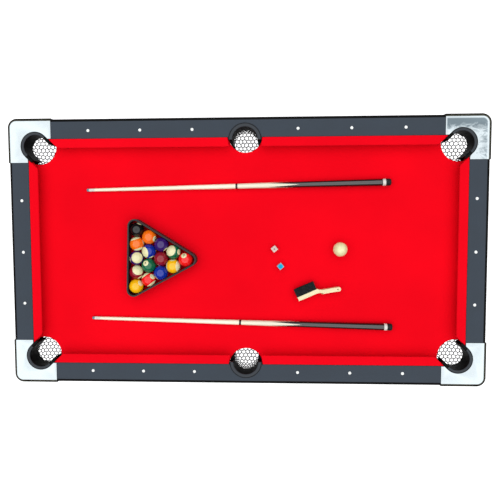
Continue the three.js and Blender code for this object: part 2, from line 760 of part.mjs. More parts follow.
// The brush lies on its side: the wood, and a block of bristle along the back.
function brush(x, y) {
  const back = { length: 88, thick: 16, width: 28 };
  const handle = { length: 84, end: 8.5, bend: THREE.MathUtils.degToRad(-19) };
  const bristle = { from: 2, to: 86, depth: 34, height: 24 };
  const wood = plate(brushOutline(back, handle), 0, back.width, 6);
  const low = (back.width - bristle.height) / 2;
  const root = back.thick - 1;
  const tip = back.thick + bristle.depth;
  const tuft = box(bristle.from, bristle.to, root, tip, low, low + bristle.height);
  const mesh = named('brush', join(wood, tuft), MATERIALS.brush);
  mesh.rotation.z = THREE.MathUtils.degToRad(BRUSH_TURN);
  mesh.position.set(x, y, CLOTH_TOP + GAP);
  return mesh;
}

// ---- Assembly ----------------------------------------------------------------------------------

table.add(named('bed_board', bedBoard(), MATERIALS.board));
table.add(named('bed_cloth', bedCloth(), MATERIALS.cloth));
for (const side of SIDES) {
  table.add(named(`rail_${side.name}`, rail(side), MATERIALS.laminate));
  table.add(named(`apron_${side.name}`, apron(side), MATERIALS.board));
  for (const [name, shape] of cushions(side)) table.add(named(name, shape, MATERIALS.cloth));
}
for (const corner of CORNERS) {
  const [liner, net] = cornerPocket(corner);
  table.add(named(`corner_cap_${corner.name}`, cornerCap(corner), MATERIALS.chrome));
  table.add(named(`pocket_liner_${corner.name}`, liner, MATERIALS.liner));
  table.add(named(`pocket_net_${corner.name}`, net, MATERIALS.net));
}
for (const side of LONG_SIDES) {
  const [liner, net] = sidePocket(side);
  table.add(named(`pocket_liner_side_${side.name}`, liner, MATERIALS.liner));
  table.add(named(`pocket_net_side_${side.name}`, net, MATERIALS.net));
}
table.add(legSet('head', false), legSet('foot', true));
table.add(cue(1, -645, 250, 1.17), cue(2, -633, -273, -1.41));
table.add(rack(), cueBall(376, 10));
table.add(chalk('chalk_white', MATERIALS.chalkWhite, 115.5, 11));
table.add(chalk('chalk_blue', MATERIALS.chalkBlue, 140, -59));
table.add(brush(211, -199));

export default table;
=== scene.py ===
import math
import random

import bmesh
import bpy
from mathutils import Matrix, Vector


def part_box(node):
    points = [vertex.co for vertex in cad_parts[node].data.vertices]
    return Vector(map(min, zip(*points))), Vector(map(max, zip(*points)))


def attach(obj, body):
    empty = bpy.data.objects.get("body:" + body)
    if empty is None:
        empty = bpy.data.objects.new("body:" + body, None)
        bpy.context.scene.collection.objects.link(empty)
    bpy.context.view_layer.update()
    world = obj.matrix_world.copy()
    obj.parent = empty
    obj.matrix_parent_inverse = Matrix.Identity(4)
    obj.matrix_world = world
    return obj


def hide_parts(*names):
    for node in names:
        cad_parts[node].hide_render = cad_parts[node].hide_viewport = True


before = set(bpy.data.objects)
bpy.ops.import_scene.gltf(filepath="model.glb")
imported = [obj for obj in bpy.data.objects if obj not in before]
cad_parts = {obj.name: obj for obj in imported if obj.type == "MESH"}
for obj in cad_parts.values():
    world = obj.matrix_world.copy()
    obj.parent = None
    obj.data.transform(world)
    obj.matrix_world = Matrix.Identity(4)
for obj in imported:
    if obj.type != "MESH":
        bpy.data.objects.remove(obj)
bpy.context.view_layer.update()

# ---- Sizes, in metres, most of them taken from the frame -----------------------------------------

HALF_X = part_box("rail_head")[1].x
HALF_Y, RAIL_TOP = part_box("rail_back")[1].yz
RAIL_WIDTH = HALF_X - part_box("rail_head")[0].x
CUSHION_WIDTH = 0.037
CLOTH_X, CLOTH_Y, CLOTH_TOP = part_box("bed_cloth")[1]
CLOTH_THICK = 0.0012
BOARD_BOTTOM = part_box("bed_board")[0].z
CAP_BOTTOM, CAP_TOP = (corner.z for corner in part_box("corner_cap_head_back"))
CAP_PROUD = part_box("corner_cap_head_back")[1].x - HALF_X
CAP_SIZE = HALF_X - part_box("corner_cap_head_back")[0].x
CAP_ROUND = 0.037
CAP_FILLET = 0.010
LINER_BOTTOM, LINER_TOP = (corner.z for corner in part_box("pocket_liner_head_back"))
NET_BOTTOM, NET_TOP = (corner.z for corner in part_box("pocket_net_head_back"))
NET_CORD = {"radius": 0.0018, "sides": 5, "knot": 0.0028, "cell": 0.0165, "uneven": 0.0016,
            "rope": 0.0028}
GAP = 0.0003

CORNER_POCKET = {"inset": 0.107, "radius": 0.057, "lip": 0.013, "arm": 0.034, "web": 0.034}
SIDE_POCKET = {"inset": 0.088, "radius": 0.065, "lip": 0.016, "arm": 0.0, "web": 0.014}
CORNER_HOLE = {"inset": 0.105, "radius": 0.072}
SIDE_HOLE = {"inset": 0.0655, "radius": 0.070}
CORNER_NET = {"inset": 0.105, "mouth": 0.0715, "floor": 0.054}
SIDE_NET = {"inset": 0.0898, "mouth": 0.0565, "floor": 0.050}

BALL_RADIUS = 0.028575
BALL_PITCH = BALL_RADIUS * math.sqrt(3)  # from one row of the rack to the next
RACK = {"x": -0.373, "y": -0.026, "turn": math.radians(-1.7), "wall": 0.0065, "height": 0.044}
CUE_LENGTH = 1.220
CUE_JOINT = CUE_LENGTH / 2
CUE_TIP_RADIUS = 0.0062
CUE_BUTT_RADIUS = 0.014
CHALK = {"size": 0.021, "turn": math.radians(40), "dish": 0.0088, "dish_depth": 0.0022}
BRUSH = {"x": 0.211, "y": -0.199, "turn": math.radians(23.7), "width": 0.028}
HANDLE = {"x": 0.088, "y": 0.008, "bend": math.radians(-19), "length": 0.084, "radius": 0.0085,
          "hole": 0.080, "hole_radius": 0.0026}
TABLE = "table"

CORNERS = {"head_back": (1, 1), "foot_back": (-1, 1), "foot_front": (-1, -1), "head_front": (1, -1)}
LEGS = ["head_back", "head_front", "foot_back", "foot_front"]
SIDES = {"back": 0.0, "foot": math.pi / 2, "front": math.pi, "head": -math.pi / 2}

# ---- Meshes --------------------------------------------------------------------------------------


def linked(name, data):
    """A new object of the scene with this data."""
    made = bpy.data.objects.new(name, data)
    bpy.context.scene.collection.objects.link(made)
    return made


def edited(mesh, change):
    """The mesh after change has worked on it as a bmesh."""
    work = bmesh.new()
    work.from_mesh(mesh)
    change(work)
    work.to_mesh(mesh)
    work.free()
    return mesh


def raw_mesh(points=(), faces=()):
    mesh = bpy.data.meshes.new("shape")
    mesh.from_pydata([tuple(p) for p in points], [], faces)
    return mesh


def mesh_of(points, faces):
    return edited(raw_mesh(points, faces),
                  lambda work: bmesh.ops.recalc_face_normals(work, faces=work.faces))


def loft(rings, hoop=False):
    """A closed body through rings that all have the same number of points. It is capped at both
    ends, or in a hoop its last ring joins its first."""
    count, total = len(rings[0]), len(rings) * len(rings[0])
    faces = [] if hoop else [list(range(count)), list(range(total - count, total))]
    for row in range(len(rings) if hoop else len(rings) - 1):
        for i in range(count):
            a, b = row * count + i, row * count + (i + 1) % count
            faces.append([a, b, (b + count) % total, (a + count) % total])
    return mesh_of([p for ring in rings for p in ring], faces)


def bar_faces(base, sides):
    """The faces of a bar whose two end rings follow each other from the point numbered base."""
    faces = [[base + k for k in reversed(range(sides))], [base + sides + k for k in range(sides)]]
    for k in range(sides):
        n = (k + 1) % sides
        faces.append([base + k, base + n, base + sides + n, base + sides + k])
    return faces


def arc(x, y, radius, start, end, steps):
    """Points of a round stretch, its ends among them, with the angles in degrees."""
    angles = [math.radians(start + (end - start) * i / steps) for i in range(steps + 1)]
    return [(x + radius * math.cos(a), y + radius * math.sin(a)) for a in angles]


def eased(points, radii, steps=5):
    """A closed outline with each corner eased by its own radius."""
    out = []
    for i, corner in enumerate(points):
        here = Vector(corner)
        before, after = Vector(points[i - 1]) - here, Vector(points[(i + 1) % len(points)]) - here
        reach = radii[i] if hasattr(radii, "__len__") else radii
        if reach == 0:
            out.append(tuple(here))
            continue
        start = here + before.normalized() * min(reach, before.length * 0.45)
        end = here + after.normalized() * min(reach, after.length * 0.45)
        for k in range(steps + 1):
            t = k / steps
            out.append(tuple(start * (1 - t) ** 2 + here * 2 * t * (1 - t) + end * t ** 2))
    return out


def prism(outline, low, high):
    return loft([[(x, y, low) for x, y in outline], [(x, y, high) for x, y in outline]])


def rounded_prism(outline, low, high, radius, rounded, segments=7):
    """A prism whose top edge turns over in a radius between the points numbered in rounded."""
    def turn_over(work):
        work.verts.ensure_lookup_table()
        top = work.verts[len(outline):]
        chosen = [work.edges.get((top[i], top[i + 1])) for i in rounded]
        bmesh.ops.bevel(work, geom=chosen, offset=radius, segments=segments, profile=0.5, affect="EDGES")

    return edited(prism(outline, low, high), turn_over)


def applied(data, *steps):
    """The mesh of some data after modifiers, each given as its kind and its settings."""
    holder = linked("holder", data)
    for kind, settings in steps:
        modifier = holder.modifiers.new(kind, kind)
        for name, value in settings.items():
            setattr(modifier, name, value)
    bpy.context.view_layer.update()
    made = bpy.data.meshes.new_from_object(holder.evaluated_get(bpy.context.evaluated_depsgraph_get()))
    bpy.data.objects.remove(holder)
    return made


def carved(mesh, *tools):
    """The mesh with the shape of each tool cut out of it."""
    cutters = [linked("cutter", tool) for tool in tools]
    made = applied(mesh, *(("BOOLEAN", {"object": cutter, "solver": "EXACT"}) for cutter in cutters))
    for cutter in cutters:
        bpy.data.objects.remove(cutter)
    return made


def bevelled(mesh, width, segments=3, angle=38):
    settings = {"width": width, "segments": segments, "limit_method": "ANGLE",
                "angle_limit": math.radians(angle)}
    return applied(mesh, ("BEVEL", settings))


def joined(meshes):
    def add(work):
        for mesh in meshes:
            work.from_mesh(mesh)

    return edited(raw_mesh(), add)


def turned(profile, sides=48):
    """A turned body round +X from a profile of (x, radius)."""
    angles = [math.tau * i / sides for i in range(sides)]
    return loft([[(x, r * math.cos(a), r * math.sin(a)) for a in angles] for x, r in profile])


def upright(profile, sides=32):
    """A turned body round +Z from a profile of (z, radius)."""
    mesh = turned(profile, sides)
    mesh.transform(Matrix.Rotation(-math.pi / 2, 4, "Y"))
    return mesh


def moved(mesh, matrix):
    mesh.transform(matrix)
    if matrix.determinant() < 0:
        mesh.flip_normals()
    return mesh


def stood(x, y, z=0.0, turn=0.0):
    """A place for something: its spot, and its turn about +Z."""
    return Matrix.Translation((x, y, z)) @ Matrix.Rotation(turn, 4, "Z")


def piece(name, mesh, look, body, replaced=(), sharp=32, place=None):
    """Names a mesh, gives it its material, smooths it by angle and tells the frame about it. place
    is for a piece that was made round its own origin."""
    mesh.name = name
    mesh.materials.clear()
    mesh.materials.append(look)
    mesh.shade_smooth()
    mesh.set_sharp_from_angle(angle=math.radians(sharp))
    made = linked(name, mesh)
    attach(made, body)
    if replaced:
        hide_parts(*replaced)
    if place is not None:
        made.matrix_world = place
    return made


# ---- Materials -----------------------------------------------------------------------------------


def feed(tree, socket, value):
    """Gives a socket a value, or another node's output."""
    if hasattr(value, "is_output"):
        tree.links.new(value, socket)
    else:
        socket.default_value = value


def new_node(tree, kind, inputs=(), **settings):
    made = tree.nodes.new(kind)
    for name, value in settings.items():
        setattr(made, name, value)
    for key, value in inputs:
        feed(tree, made.inputs[key], value)
    return made


class Look:
    """A node material under construction. Its places are the piece's own coordinates."""

    def __init__(self, name, colour, roughness, metallic=0.0, specular=0.5):
        self.material = bpy.data.materials.new(name)
        self.material.use_nodes = True
        self.tree = self.material.node_tree
        self.shader = self.tree.nodes["Principled BSDF"]
        self.place = self.tree.nodes.new("ShaderNodeTexCoord").outputs["Object"]
        self.set("Base Color", (*colour, 1))
        self.set("Roughness", roughness)
        self.set("Metallic", metallic)
        self.set("Specular IOR Level", specular)

    def set(self, socket, value):
        feed(self.tree, self.shader.inputs[socket], value)
        return self

    def paint(self, factor, a, b):
        return self.set("Base Color", self.mix(factor, a, b))

    def gloss(self, value, to_low, to_high, low=0.3, high=0.7):
        """Roughness that goes from to_low to to_high as the value goes from low to high."""
        return self.set("Roughness", self.spread(value, low, high, to_low, to_high))

    def node(self, kind, inputs=(), **settings):
        return new_node(self.tree, kind, inputs, **settings)

    def noise(self, scale, detail=3.0, roughness=0.5, where=None, distortion=0.0):
        inputs = [("Vector", where or self.place), ("Scale", scale), ("Detail", detail),
                  ("Roughness", roughness), ("Distortion", distortion)]
        return self.node("ShaderNodeTexNoise", inputs).outputs["Fac"]

    def stretched(self, x, y, z):
        inputs = [(0, self.place), (1, (x, y, z))]
        return self.node("ShaderNodeVectorMath", inputs, operation="MULTIPLY").outputs[0]

    def math(self, operation, a, b=0.0):
        return self.node("ShaderNodeMath", [(0, a), (1, b)], operation=operation).outputs[0]

    def times(self, a, b):
        return self.math("MULTIPLY", a, b)

    def above(self, value, limit):
        """1 where a value is greater than a limit, and 0 elsewhere."""
        return self.math("GREATER_THAN", value, limit)

    def size(self, value):
        return self.math("ABSOLUTE", value)

    def dot(self, direction):
        inputs = [(0, self.place), (1, tuple(direction))]
        return self.node("ShaderNodeVectorMath", inputs, operation="DOT_PRODUCT").outputs["Value"]

    def axes(self):
        return self.node("ShaderNodeSeparateXYZ", [(0, self.place)]).outputs

    def beyond(self, value, limit):
        """How far the size of a value is past a limit, and 0 where it is not."""
        return self.math("MAXIMUM", self.math("SUBTRACT", self.size(value), limit), 0.0)

    def length(self, a, b):
        squares = self.math("ADD", self.math("POWER", a, 2.0), self.math("POWER", b, 2.0))
        return self.math("SQRT", squares)

    def mix(self, factor, a, b):
        inputs = [(0, factor)]
        for key, colour in ((6, a), (7, b)):
            inputs.append((key, colour if hasattr(colour, "is_output") else (*colour, 1)))
        return self.node("ShaderNodeMix", inputs, data_type="RGBA").outputs[2]

    def spread(self, value, low, high, to_low=0.0, to_high=1.0):
        inputs = [(0, value), (1, low), (2, high), (3, to_low), (4, to_high)]
        return self.node("ShaderNodeMapRange", inputs).outputs[0]

    def bump(self, height, strength, distance=0.001):
        inputs = [("Height", height), ("Strength", strength), ("Distance", distance)]
        return self.set("Normal", self.node("ShaderNodeBump", inputs).outputs[0])


def shade(colour, factor):
    return tuple(c * factor for c in colour)


def grained(name, colour, roughness, specular=0.5, scale=900.0, depth=0.25, spread=0.25):
    """A moulded, painted or coated surface: fine grain in its colour, gloss and height."""
    look = Look(name, colour, roughness, specular=specular)
    grain = look.noise(scale, 4.0)
    tone = look.mix(look.noise(9.0, 3.0), shade(colour, 1 - spread), shade(colour, 1 + spread))
    look.paint(look.spread(grain, 0.35, 0.7, 0, 0.35), tone, shade(colour, 1.6))
    look.gloss(grain, roughness * 0.85, min(1, roughness * 1.15))
    return look.bump(grain, depth, 0.0004).material


def cloth_look(name, colour):
    """Napped woollen cloth: a fine weave with fuzz on it and faint brushed patches."""
    look = Look(name, colour, 1.0, specular=0.02)
    weave = look.times(thread_wave(look, 0), thread_wave(look, 1))
    fuzz = look.noise(1500.0, 4.0, 0.7)
    patches = look.spread(look.noise(3.5, 2.0), 0.3, 0.7)
    tone = look.mix(patches, shade(colour, 0.93), shade(colour, 1.05))
    look.paint(look.spread(fuzz, 0.3, 0.75, 0, 0.5), tone, shade(colour, 0.8))
    look.set("Sheen Weight", 0.08)
    look.set("Sheen Roughness", 0.6)
    look.set("Sheen Tint", (1.0, 0.12, 0.1, 1))
    return look.bump(look.math("ADD", look.times(weave, 0.5), fuzz), 0.35, 0.0004).material


def thread_wave(look, axis):
    pitch = 0.0007
    angle = look.times(look.axes()[axis], math.tau / pitch)
    return look.spread(look.math("SINE", angle), -1, 1)


def rail_look():
    """Slate laminate on top, and near-black round the outer edge and down the face."""
    colour, black = (0.038, 0.051, 0.069), (0.0006, 0.0006, 0.0008)
    dark_band_width = 0.0112
    look = Look("slate_laminate", colour, 0.42, specular=0.12)
    x, y = look.axes()[:2]
    # Near-black band along the outer edge and down the face.
    outside = look.above(look.length(look.beyond(x, HALF_X - dark_band_width),
                                     look.beyond(y, HALF_Y - dark_band_width)), 0.0)
    grain = look.noise(700.0, 5.0, 0.65)
    tone = look.mix(look.spread(grain, 0.35, 0.7), shade(colour, 0.8), shade(colour, 1.25))
    tone = look.mix(look.times(look.noise(14.0, 3.0), 0.35), tone, (0.03, 0.032, 0.036))
    look.paint(outside, tone, black)
    look.gloss(outside, 0.42, 0.62, 0, 1)
    return look.bump(grain, 0.3, 0.0003).material


def cap_look(name, reflection_painted):
    """Bright chrome over a polished casting: soft waves and wiping streaks, and a painted dark reflection
    on its rolled outer edge.
    When asked for, a cap also has a painted grey-blue reflection: a cloud along its outer sides and a few
    spots below it."""
    look = Look(name, (0.50, 0.555, 0.58), 0.07, 1.0)
    wiping = look.noise(60.0, 3.0, 0.6, look.stretched(1.0, 7.0, 1.0), 1.5)
    tone = look.mix(look.spread(wiping, 0.35, 0.7), (0.475, 0.54, 0.575), (0.52, 0.57, 0.59))
    x, y, z = look.axes()
    outward = look.length(look.beyond(x, HALF_X + CAP_PROUD - CAP_ROUND),
                          look.beyond(y, HALF_Y + CAP_PROUD - CAP_ROUND))
    if reflection_painted:
        # Painted reflection: a grey-blue cloud mixed into the chrome's colour.
        tone = look.mix(marbling(look, x, y, outward), tone, (0.115, 0.150, 0.172))
    # Painted dark reflection: the rolled outer edge is painted near black, streaked by the wiping noise,
    # for the dark surroundings it mirrors.
    outside = look.above(outward, CAP_ROUND - CAP_FILLET - 0.0018)
    rolled = look.times(outside, look.above(z, CAP_TOP - CAP_FILLET - 0.0002))
    painted_dark_reflection = look.mix(look.spread(wiping, 0.4, 0.6), (0.003, 0.003, 0.003), (0.075, 0.075, 0.058))
    look.paint(rolled, tone, painted_dark_reflection)
    look.gloss(wiping, 0.05, 0.16, 0.4, 0.75)
    return look.bump(look.noise(26.0, 2.0, 0.4), 0.10, 0.004).material


def marbling(look, x, y, outward):
    """Where the cap at +X +Y gets its painted grey-blue reflection: clouded along both outer sides, with a
    few spots elsewhere, but not on its bright rim.
    """
    cloud = look.noise(34.0, 5.0, 0.6, look.stretched(1.0, 1.8, 1.0), 1.2)
    back = look.times(look.math("SUBTRACT", y, HALF_Y - 0.066), 11.0)
    end = look.times(look.math("SUBTRACT", x, HALF_X - 0.036), 9.0)
    depth = look.math("MAXIMUM", back, look.math("MINIMUM", end, 0.11))
    bloom = look.spread(look.math("ADD", cloud, depth), 0.44, 0.80, 0, 0.95)
    reflection_spots = look.spread(look.noise(52.0, 4.0, 0.6, None, 2.0), 0.60, 0.68, 0, 0.8)
    rim = look.spread(outward, CAP_ROUND - 0.0205, CAP_ROUND - 0.0165, 1, 0.1)
    joint = HALF_X - CAP_SIZE
    clear_end = look.spread(x, joint + 0.0035, joint + 0.0065, 0.1, 1)
    clouded = look.times(look.math("MAXIMUM", bloom, reflection_spots), rim)
    return look.times(clouded, clear_end)


def liner_look():
    """Black moulded plastic. Its sloping lip has a painted grey highlight round the ring, and not along the
    arms.
    """
    black, grey = (0.0007, 0.0007, 0.0008), (0.042, 0.048, 0.056)
    look = Look("liner_plastic", black, 0.5, specular=0.1)
    x, y, z = look.axes()
    along, across = look.size(x), look.size(y)
    lip = look.spread(z, LINER_TOP - 0.0052, LINER_TOP - 0.0030)
    edge = look.spread(z, LINER_TOP - 0.0008, LINER_TOP - 0.0003, 1, 0)
    ring_starts = HALF_X + HALF_Y - 2 * CORNER_POCKET["inset"] - 0.004
    on_ring = look.above(look.math("ADD", along, across), ring_starts)
    on_ring = look.math("MAXIMUM", on_ring, look.math("LESS_THAN", along, HALF_X / 2))
    # Painted highlight: the lip round the ring is painted grey, and its very top edge is kept black.
    painted_lip_highlight = look.times(look.times(lip, edge), on_ring)
    grain = look.noise(1600.0, 3.0, 0.6)
    look.paint(painted_lip_highlight, black, look.mix(look.spread(grain, 0.3, 0.7), shade(grey, 0.85), shade(grey, 1.15)))
    look.gloss(grain, 0.44, 0.58)
    return look.bump(grain, 0.15, 0.0003).material


def wood_look(name, colour, dark, roughness=0.28, streaks=(3.0, 160.0, 160.0)):
    """Clear-coated pale wood with its grain along the piece's own X."""
    look = Look(name, colour, roughness, specular=0.5)
    where = look.stretched(*streaks)
    rings = look.noise(1.0, 4.0, 0.6, where, 0.6)
    pores = look.noise(6.0, 2.0, 0.6, where)
    tone = look.mix(look.spread(rings, 0.38, 0.72), colour, dark)
    look.paint(look.spread(pores, 0.62, 0.8, 0, 0.35), tone, shade(dark, 0.75))
    look.gloss(rings, roughness, roughness + 0.1)
    look.set("Coat Weight", 0.3)
    look.set("Coat Roughness", 0.12)
    return look.bump(pores, 0.06, 0.0002).material


def butt_look():
    """Black lacquer with four long pale points let in from the forearm."""
    pale, black = (0.74, 0.71, 0.55), (0.0028, 0.003, 0.0034)
    look = Look("cue_butt_lacquer", pale, 0.14, specular=1.0)
    x, y, z = look.axes()
    quarter = look.math("DIVIDE", look.math("ARCTAN2", y, z), math.tau / 4)
    phase = look.math("FRACT", look.math("ADD", quarter, 4.5))
    away = look.times(look.size(look.math("SUBTRACT", phase, 0.5)), 2.0)
    left = look.spread(x, CUE_LENGTH - 0.49, CUE_LENGTH - 0.36, 1.06, 0.0)
    grain = look.noise(1.0, 3.0, 0.6, look.stretched(4.0, 170.0, 170.0), 0.5)
    wood = look.mix(look.spread(grain, 0.35, 0.7), pale, shade(pale, 0.82))
    flecks = look.noise(2400.0, 2.0)
    lacquer = look.mix(look.spread(flecks, 0.66, 0.8), black, (0.012, 0.013, 0.015))
    look.paint(look.above(away, left), wood, lacquer)
    look.gloss(flecks, 0.12, 0.2, 0.3, 0.8)
    return look.bump(flecks, 0.02, 0.0002).material


def ball_look(name, colour, cream, axis=None, spot=None):
    """Polished resin. A striped ball keeps its colour in a band round axis; spot is where its
    number sits."""
    look = Look(name, colour, 0.08, specular=0.5)
    cloud = look.spread(look.noise(70.0, 3.0), 0.3, 0.7)
    tone = look.mix(cloud, shade(colour, 0.9), shade(colour, 1.08))
    ivory = look.mix(cloud, cream, shade(cream, 0.93))
    if axis is not None:
        band = look.size(look.dot(axis / BALL_RADIUS))
        tone = look.mix(look.spread(band, 0.63, 0.65), tone, ivory)
    if spot is not None:
        near = look.dot(spot / BALL_RADIUS)
        if axis is not None:
            near = look.size(near)
        outer, inner = math.cos(math.radians(24.5)), math.cos(math.radians(23.7))
        tone = look.mix(look.spread(near, outer, inner), tone, ivory)
    look.set("Base Color", tone)
    return look.gloss(look.noise(220.0, 2.0), 0.06, 0.12, 0.4).material


def chalk_look(name, colour, pale, hollow):
    """Pressed chalk: dusty grain, a worn hollow in the top and paler dust near the edges."""
    look = Look(name, colour, 0.95, specular=0.1)
    across = look.length(*look.axes()[:2])
    dust = look.noise(900.0, 4.0, 0.7)
    grain = look.mix(look.spread(dust, 0.3, 0.7), shade(colour, 0.85), shade(colour, 1.12))
    edge = look.mix(look.spread(across, 0.0075, 0.0125), grain, pale)
    look.paint(look.spread(across, 0.0022, 0.0034, 1, 0), edge, hollow)
    return look.bump(dust, 0.5, 0.0005).material


def board_look():
    """Black foil over chipboard, with a pressed wood-pore grain."""
    colour = (0.010, 0.0105, 0.0115)
    look = Look("black_foil_board", colour, 0.5, specular=0.35)
    pores = look.noise(1.0, 4.0, 0.65, look.stretched(30.0, 30.0, 420.0), 0.4)
    look.paint(look.spread(pores, 0.4, 0.7), shade(colour, 0.7), shade(colour, 1.7))
    return look.gloss(pores, 0.42, 0.6).bump(pores, 0.25, 0.0004).material


def plated_look():
    """Bright zinc plating, a little streaked."""
    look = Look("zinc_plate", (0.55, 0.56, 0.57), 0.32, 1.0)
    streaks = look.noise(90.0, 3.0, 0.6, look.stretched(1.0, 1.0, 5.0))
    look.paint(streaks, (0.45, 0.46, 0.47), (0.66, 0.67, 0.68))
    return look.gloss(streaks, 0.22, 0.42).bump(streaks, 0.08, 0.0003).material


def leveler_look():
    """A black rubber foot, and its plated screw above."""
    look = Look("leveler", (0.01, 0.01, 0.011), 0.8, specular=0.3)
    screw = look.above(look.axes()["Z"], 0.0081)
    speckle = look.noise(1500.0, 3.0)
    rubber = look.mix(speckle, (0.007, 0.007, 0.008), (0.016, 0.016, 0.017))
    look.paint(screw, rubber, (0.5, 0.5, 0.52)).set("Metallic", screw)
    return look.gloss(screw, 0.8, 0.35, 0, 1).bump(speckle, 0.3, 0.0004).material


def cord_look():
    """Spun grey cord."""
    look = Look("net_cord_grey", (0.03, 0.032, 0.034), 0.9, specular=0.1)
    fibres = look.noise(2600.0, 3.0, 0.7)
    look.paint(look.spread(fibres, 0.3, 0.7), (0.015, 0.016, 0.018), (0.04, 0.042, 0.045))
    return look.bump(fibres, 0.4, 0.0005).material


def bristle_look():
    """Black bristle with a few teal and blue hairs among it."""
    look = Look("bristle", (0.006, 0.007, 0.009), 0.35, specular=0.5)
    hue = look.noise(420.0, 2.0)
    tone = look.mix(look.spread(hue, 0.55, 0.68), (0.005, 0.006, 0.007), (0.008, 0.035, 0.045))
    look.paint(look.spread(hue, 0.38, 0.3), tone, (0.014, 0.012, 0.05))
    return look.bump(look.noise(1800.0), 0.2, 0.0003).material


# ---- Camera, floor and light ---------------------------------------------------------------------


def make_camera():
    camera = linked("camera", bpy.data.cameras.new("camera"))
    camera.data.lens = 37.87
    camera.data.sensor_width = 36
    camera.location = (0.1128, 0.1367, 2.880)
    camera.rotation_euler = (-0.0615876, 0.0449651, -0.0033346)
    bpy.context.scene.camera = camera


def make_floor():
    """A white sweep that glows a little, like a lit table-top in a studio."""
    size = 14.0
    mesh = mesh_of([(-size, -size, 0), (size, -size, 0), (size, size, 0), (-size, size, 0)], [[0, 1, 2, 3]])
    look = Look("floor", (0.55, 0.55, 0.56), 0.9)
    seen = look.node("ShaderNodeLightPath").outputs["Is Camera Ray"]
    look.set("Emission Color", (1, 1, 1, 1))
    look.set("Emission Strength", look.times(seen, 0.8))
    mesh.materials.append(look.material)
    linked("floor", mesh)


def make_light():
    """A broad soft light overhead, with dark surroundings below it as in a studio."""
    world = bpy.data.worlds.new("studio")
    bpy.context.scene.world = world
    world.use_nodes = True
    tree = world.node_tree
    direction = new_node(tree, "ShaderNodeTexCoord").outputs["Generated"]
    height = new_node(tree, "ShaderNodeSeparateXYZ", [(0, direction)]).outputs["Z"]
    ramp = new_node(tree, "ShaderNodeValToRGB", [(0, height)])
    stops = [(0.0, 0.02), (0.30, 0.03), (0.47, 0.10), (0.60, 0.95), (0.90, 1.0), (0.955, 0.86)]
    while len(ramp.color_ramp.elements) < len(stops):
        ramp.color_ramp.elements.new(0.5)
    for element, (position, level) in zip(ramp.color_ramp.elements, stops):
        element.position = position
        element.color = (level, level, level, 1)
    light = tree.nodes["Background"]
    feed(tree, light.inputs["Strength"], 1.9)
    feed(tree, light.inputs["Color"], ramp.outputs[0])
    pale = new_node(tree, "ShaderNodeBackground", [("Color", (1, 1, 1, 1))])
    seen = new_node(tree, "ShaderNodeLightPath").outputs["Is Camera Ray"]
    choice = new_node(tree, "ShaderNodeMixShader",
                      [(0, seen), (1, light.outputs[0]), (2, pale.outputs[0])])
    feed(tree, tree.nodes["World Output"].inputs["Surface"], choice.outputs[0])
    bpy.context.scene.view_settings.view_transform = "Standard"


# ---- Bed and cloth -------------------------------------------------------------------------------


def bed_holes():
    """Each hole as (centre x, centre y, radius, first angle, last angle) of its edge on the bed."""
    corner_x, corner_y = HALF_X - CORNER_HOLE["inset"], HALF_Y - CORNER_HOLE["inset"]
    side_y = HALF_Y - SIDE_HOLE["inset"]
    corner, side = CORNER_HOLE["radius"], SIDE_HOLE["radius"]
    lean = math.degrees(math.asin((CLOTH_X - corner_x) / corner))
    tilt = math.degrees(math.asin((side_y - CLOTH_Y) / side))
    return [
        (0, side_y, side, 180 + tilt, 360 - tilt),
        (corner_x, corner_y, corner, 180 - lean, 270 + lean),
        (corner_x, -corner_y, corner, 90 - lean, 180 + lean),
        (0, -side_y, side, tilt, 180 - tilt),
        (-corner_x, -corner_y, corner, -lean, 90 + lean),
        (-corner_x, corner_y, corner, 270 - lean, 360 + lean),
    ]


def make_bed_cloth(look):
    """The bed cloth: flat on the board, and turned down into each pocket hole."""
    turn, standing, steps = 0.003, 0.0016, 40
    bend = [math.pi / 2 * k / 5 for k in range(6)]
    levels = [(turn * (1 - math.sin(a)), turn * (1 - math.cos(a))) for a in bend]
    levels += [(0, turn + 0.006), (0, CLOTH_TOP - BOARD_BOTTOM - 0.001)]
    points, faces, edge = [], [], []
    for x, y, radius, start, end in bed_holes():
        rows = []
        for out, down in levels:
            rows.append([len(points) + i for i in range(steps + 1)])
            row = arc(x, y, radius - standing + out, start, end, steps)
            points += [(px, py, CLOTH_TOP - down) for px, py in row]
        for upper, lower in zip(rows, rows[1:]):
            faces += [[upper[i], upper[i + 1], lower[i + 1], lower[i]] for i in range(steps)]
        edge += rows[0]
    mesh = mesh_of(points, faces + [edge])
    if mesh.polygons[-1].normal.z < 0:
        mesh.flip_normals()
    felt = applied(mesh, ("SOLIDIFY", {"thickness": CLOTH_THICK - 0.0001, "offset": -1}))
    cloth = piece("bed_cloth_felt", felt, look, TABLE, ["bed_cloth"])


# ---- Rails, cushions and caps --------------------------------------------------------------------


def refined(node, look, body, width=0.0008):
    """The frame's own shape with its edges eased and its round faces smoothed."""
    def merge(work):
        work.from_mesh(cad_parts[node].data)
        bmesh.ops.remove_doubles(work, verts=work.verts, dist=1e-5)
        bmesh.ops.dissolve_limit(work, angle_limit=math.radians(0.8), verts=work.verts, edges=work.edges)

    shape = edited(raw_mesh(), merge)
    return piece(node + "_finished", bevelled(shape, width, 2), look, body, [node])


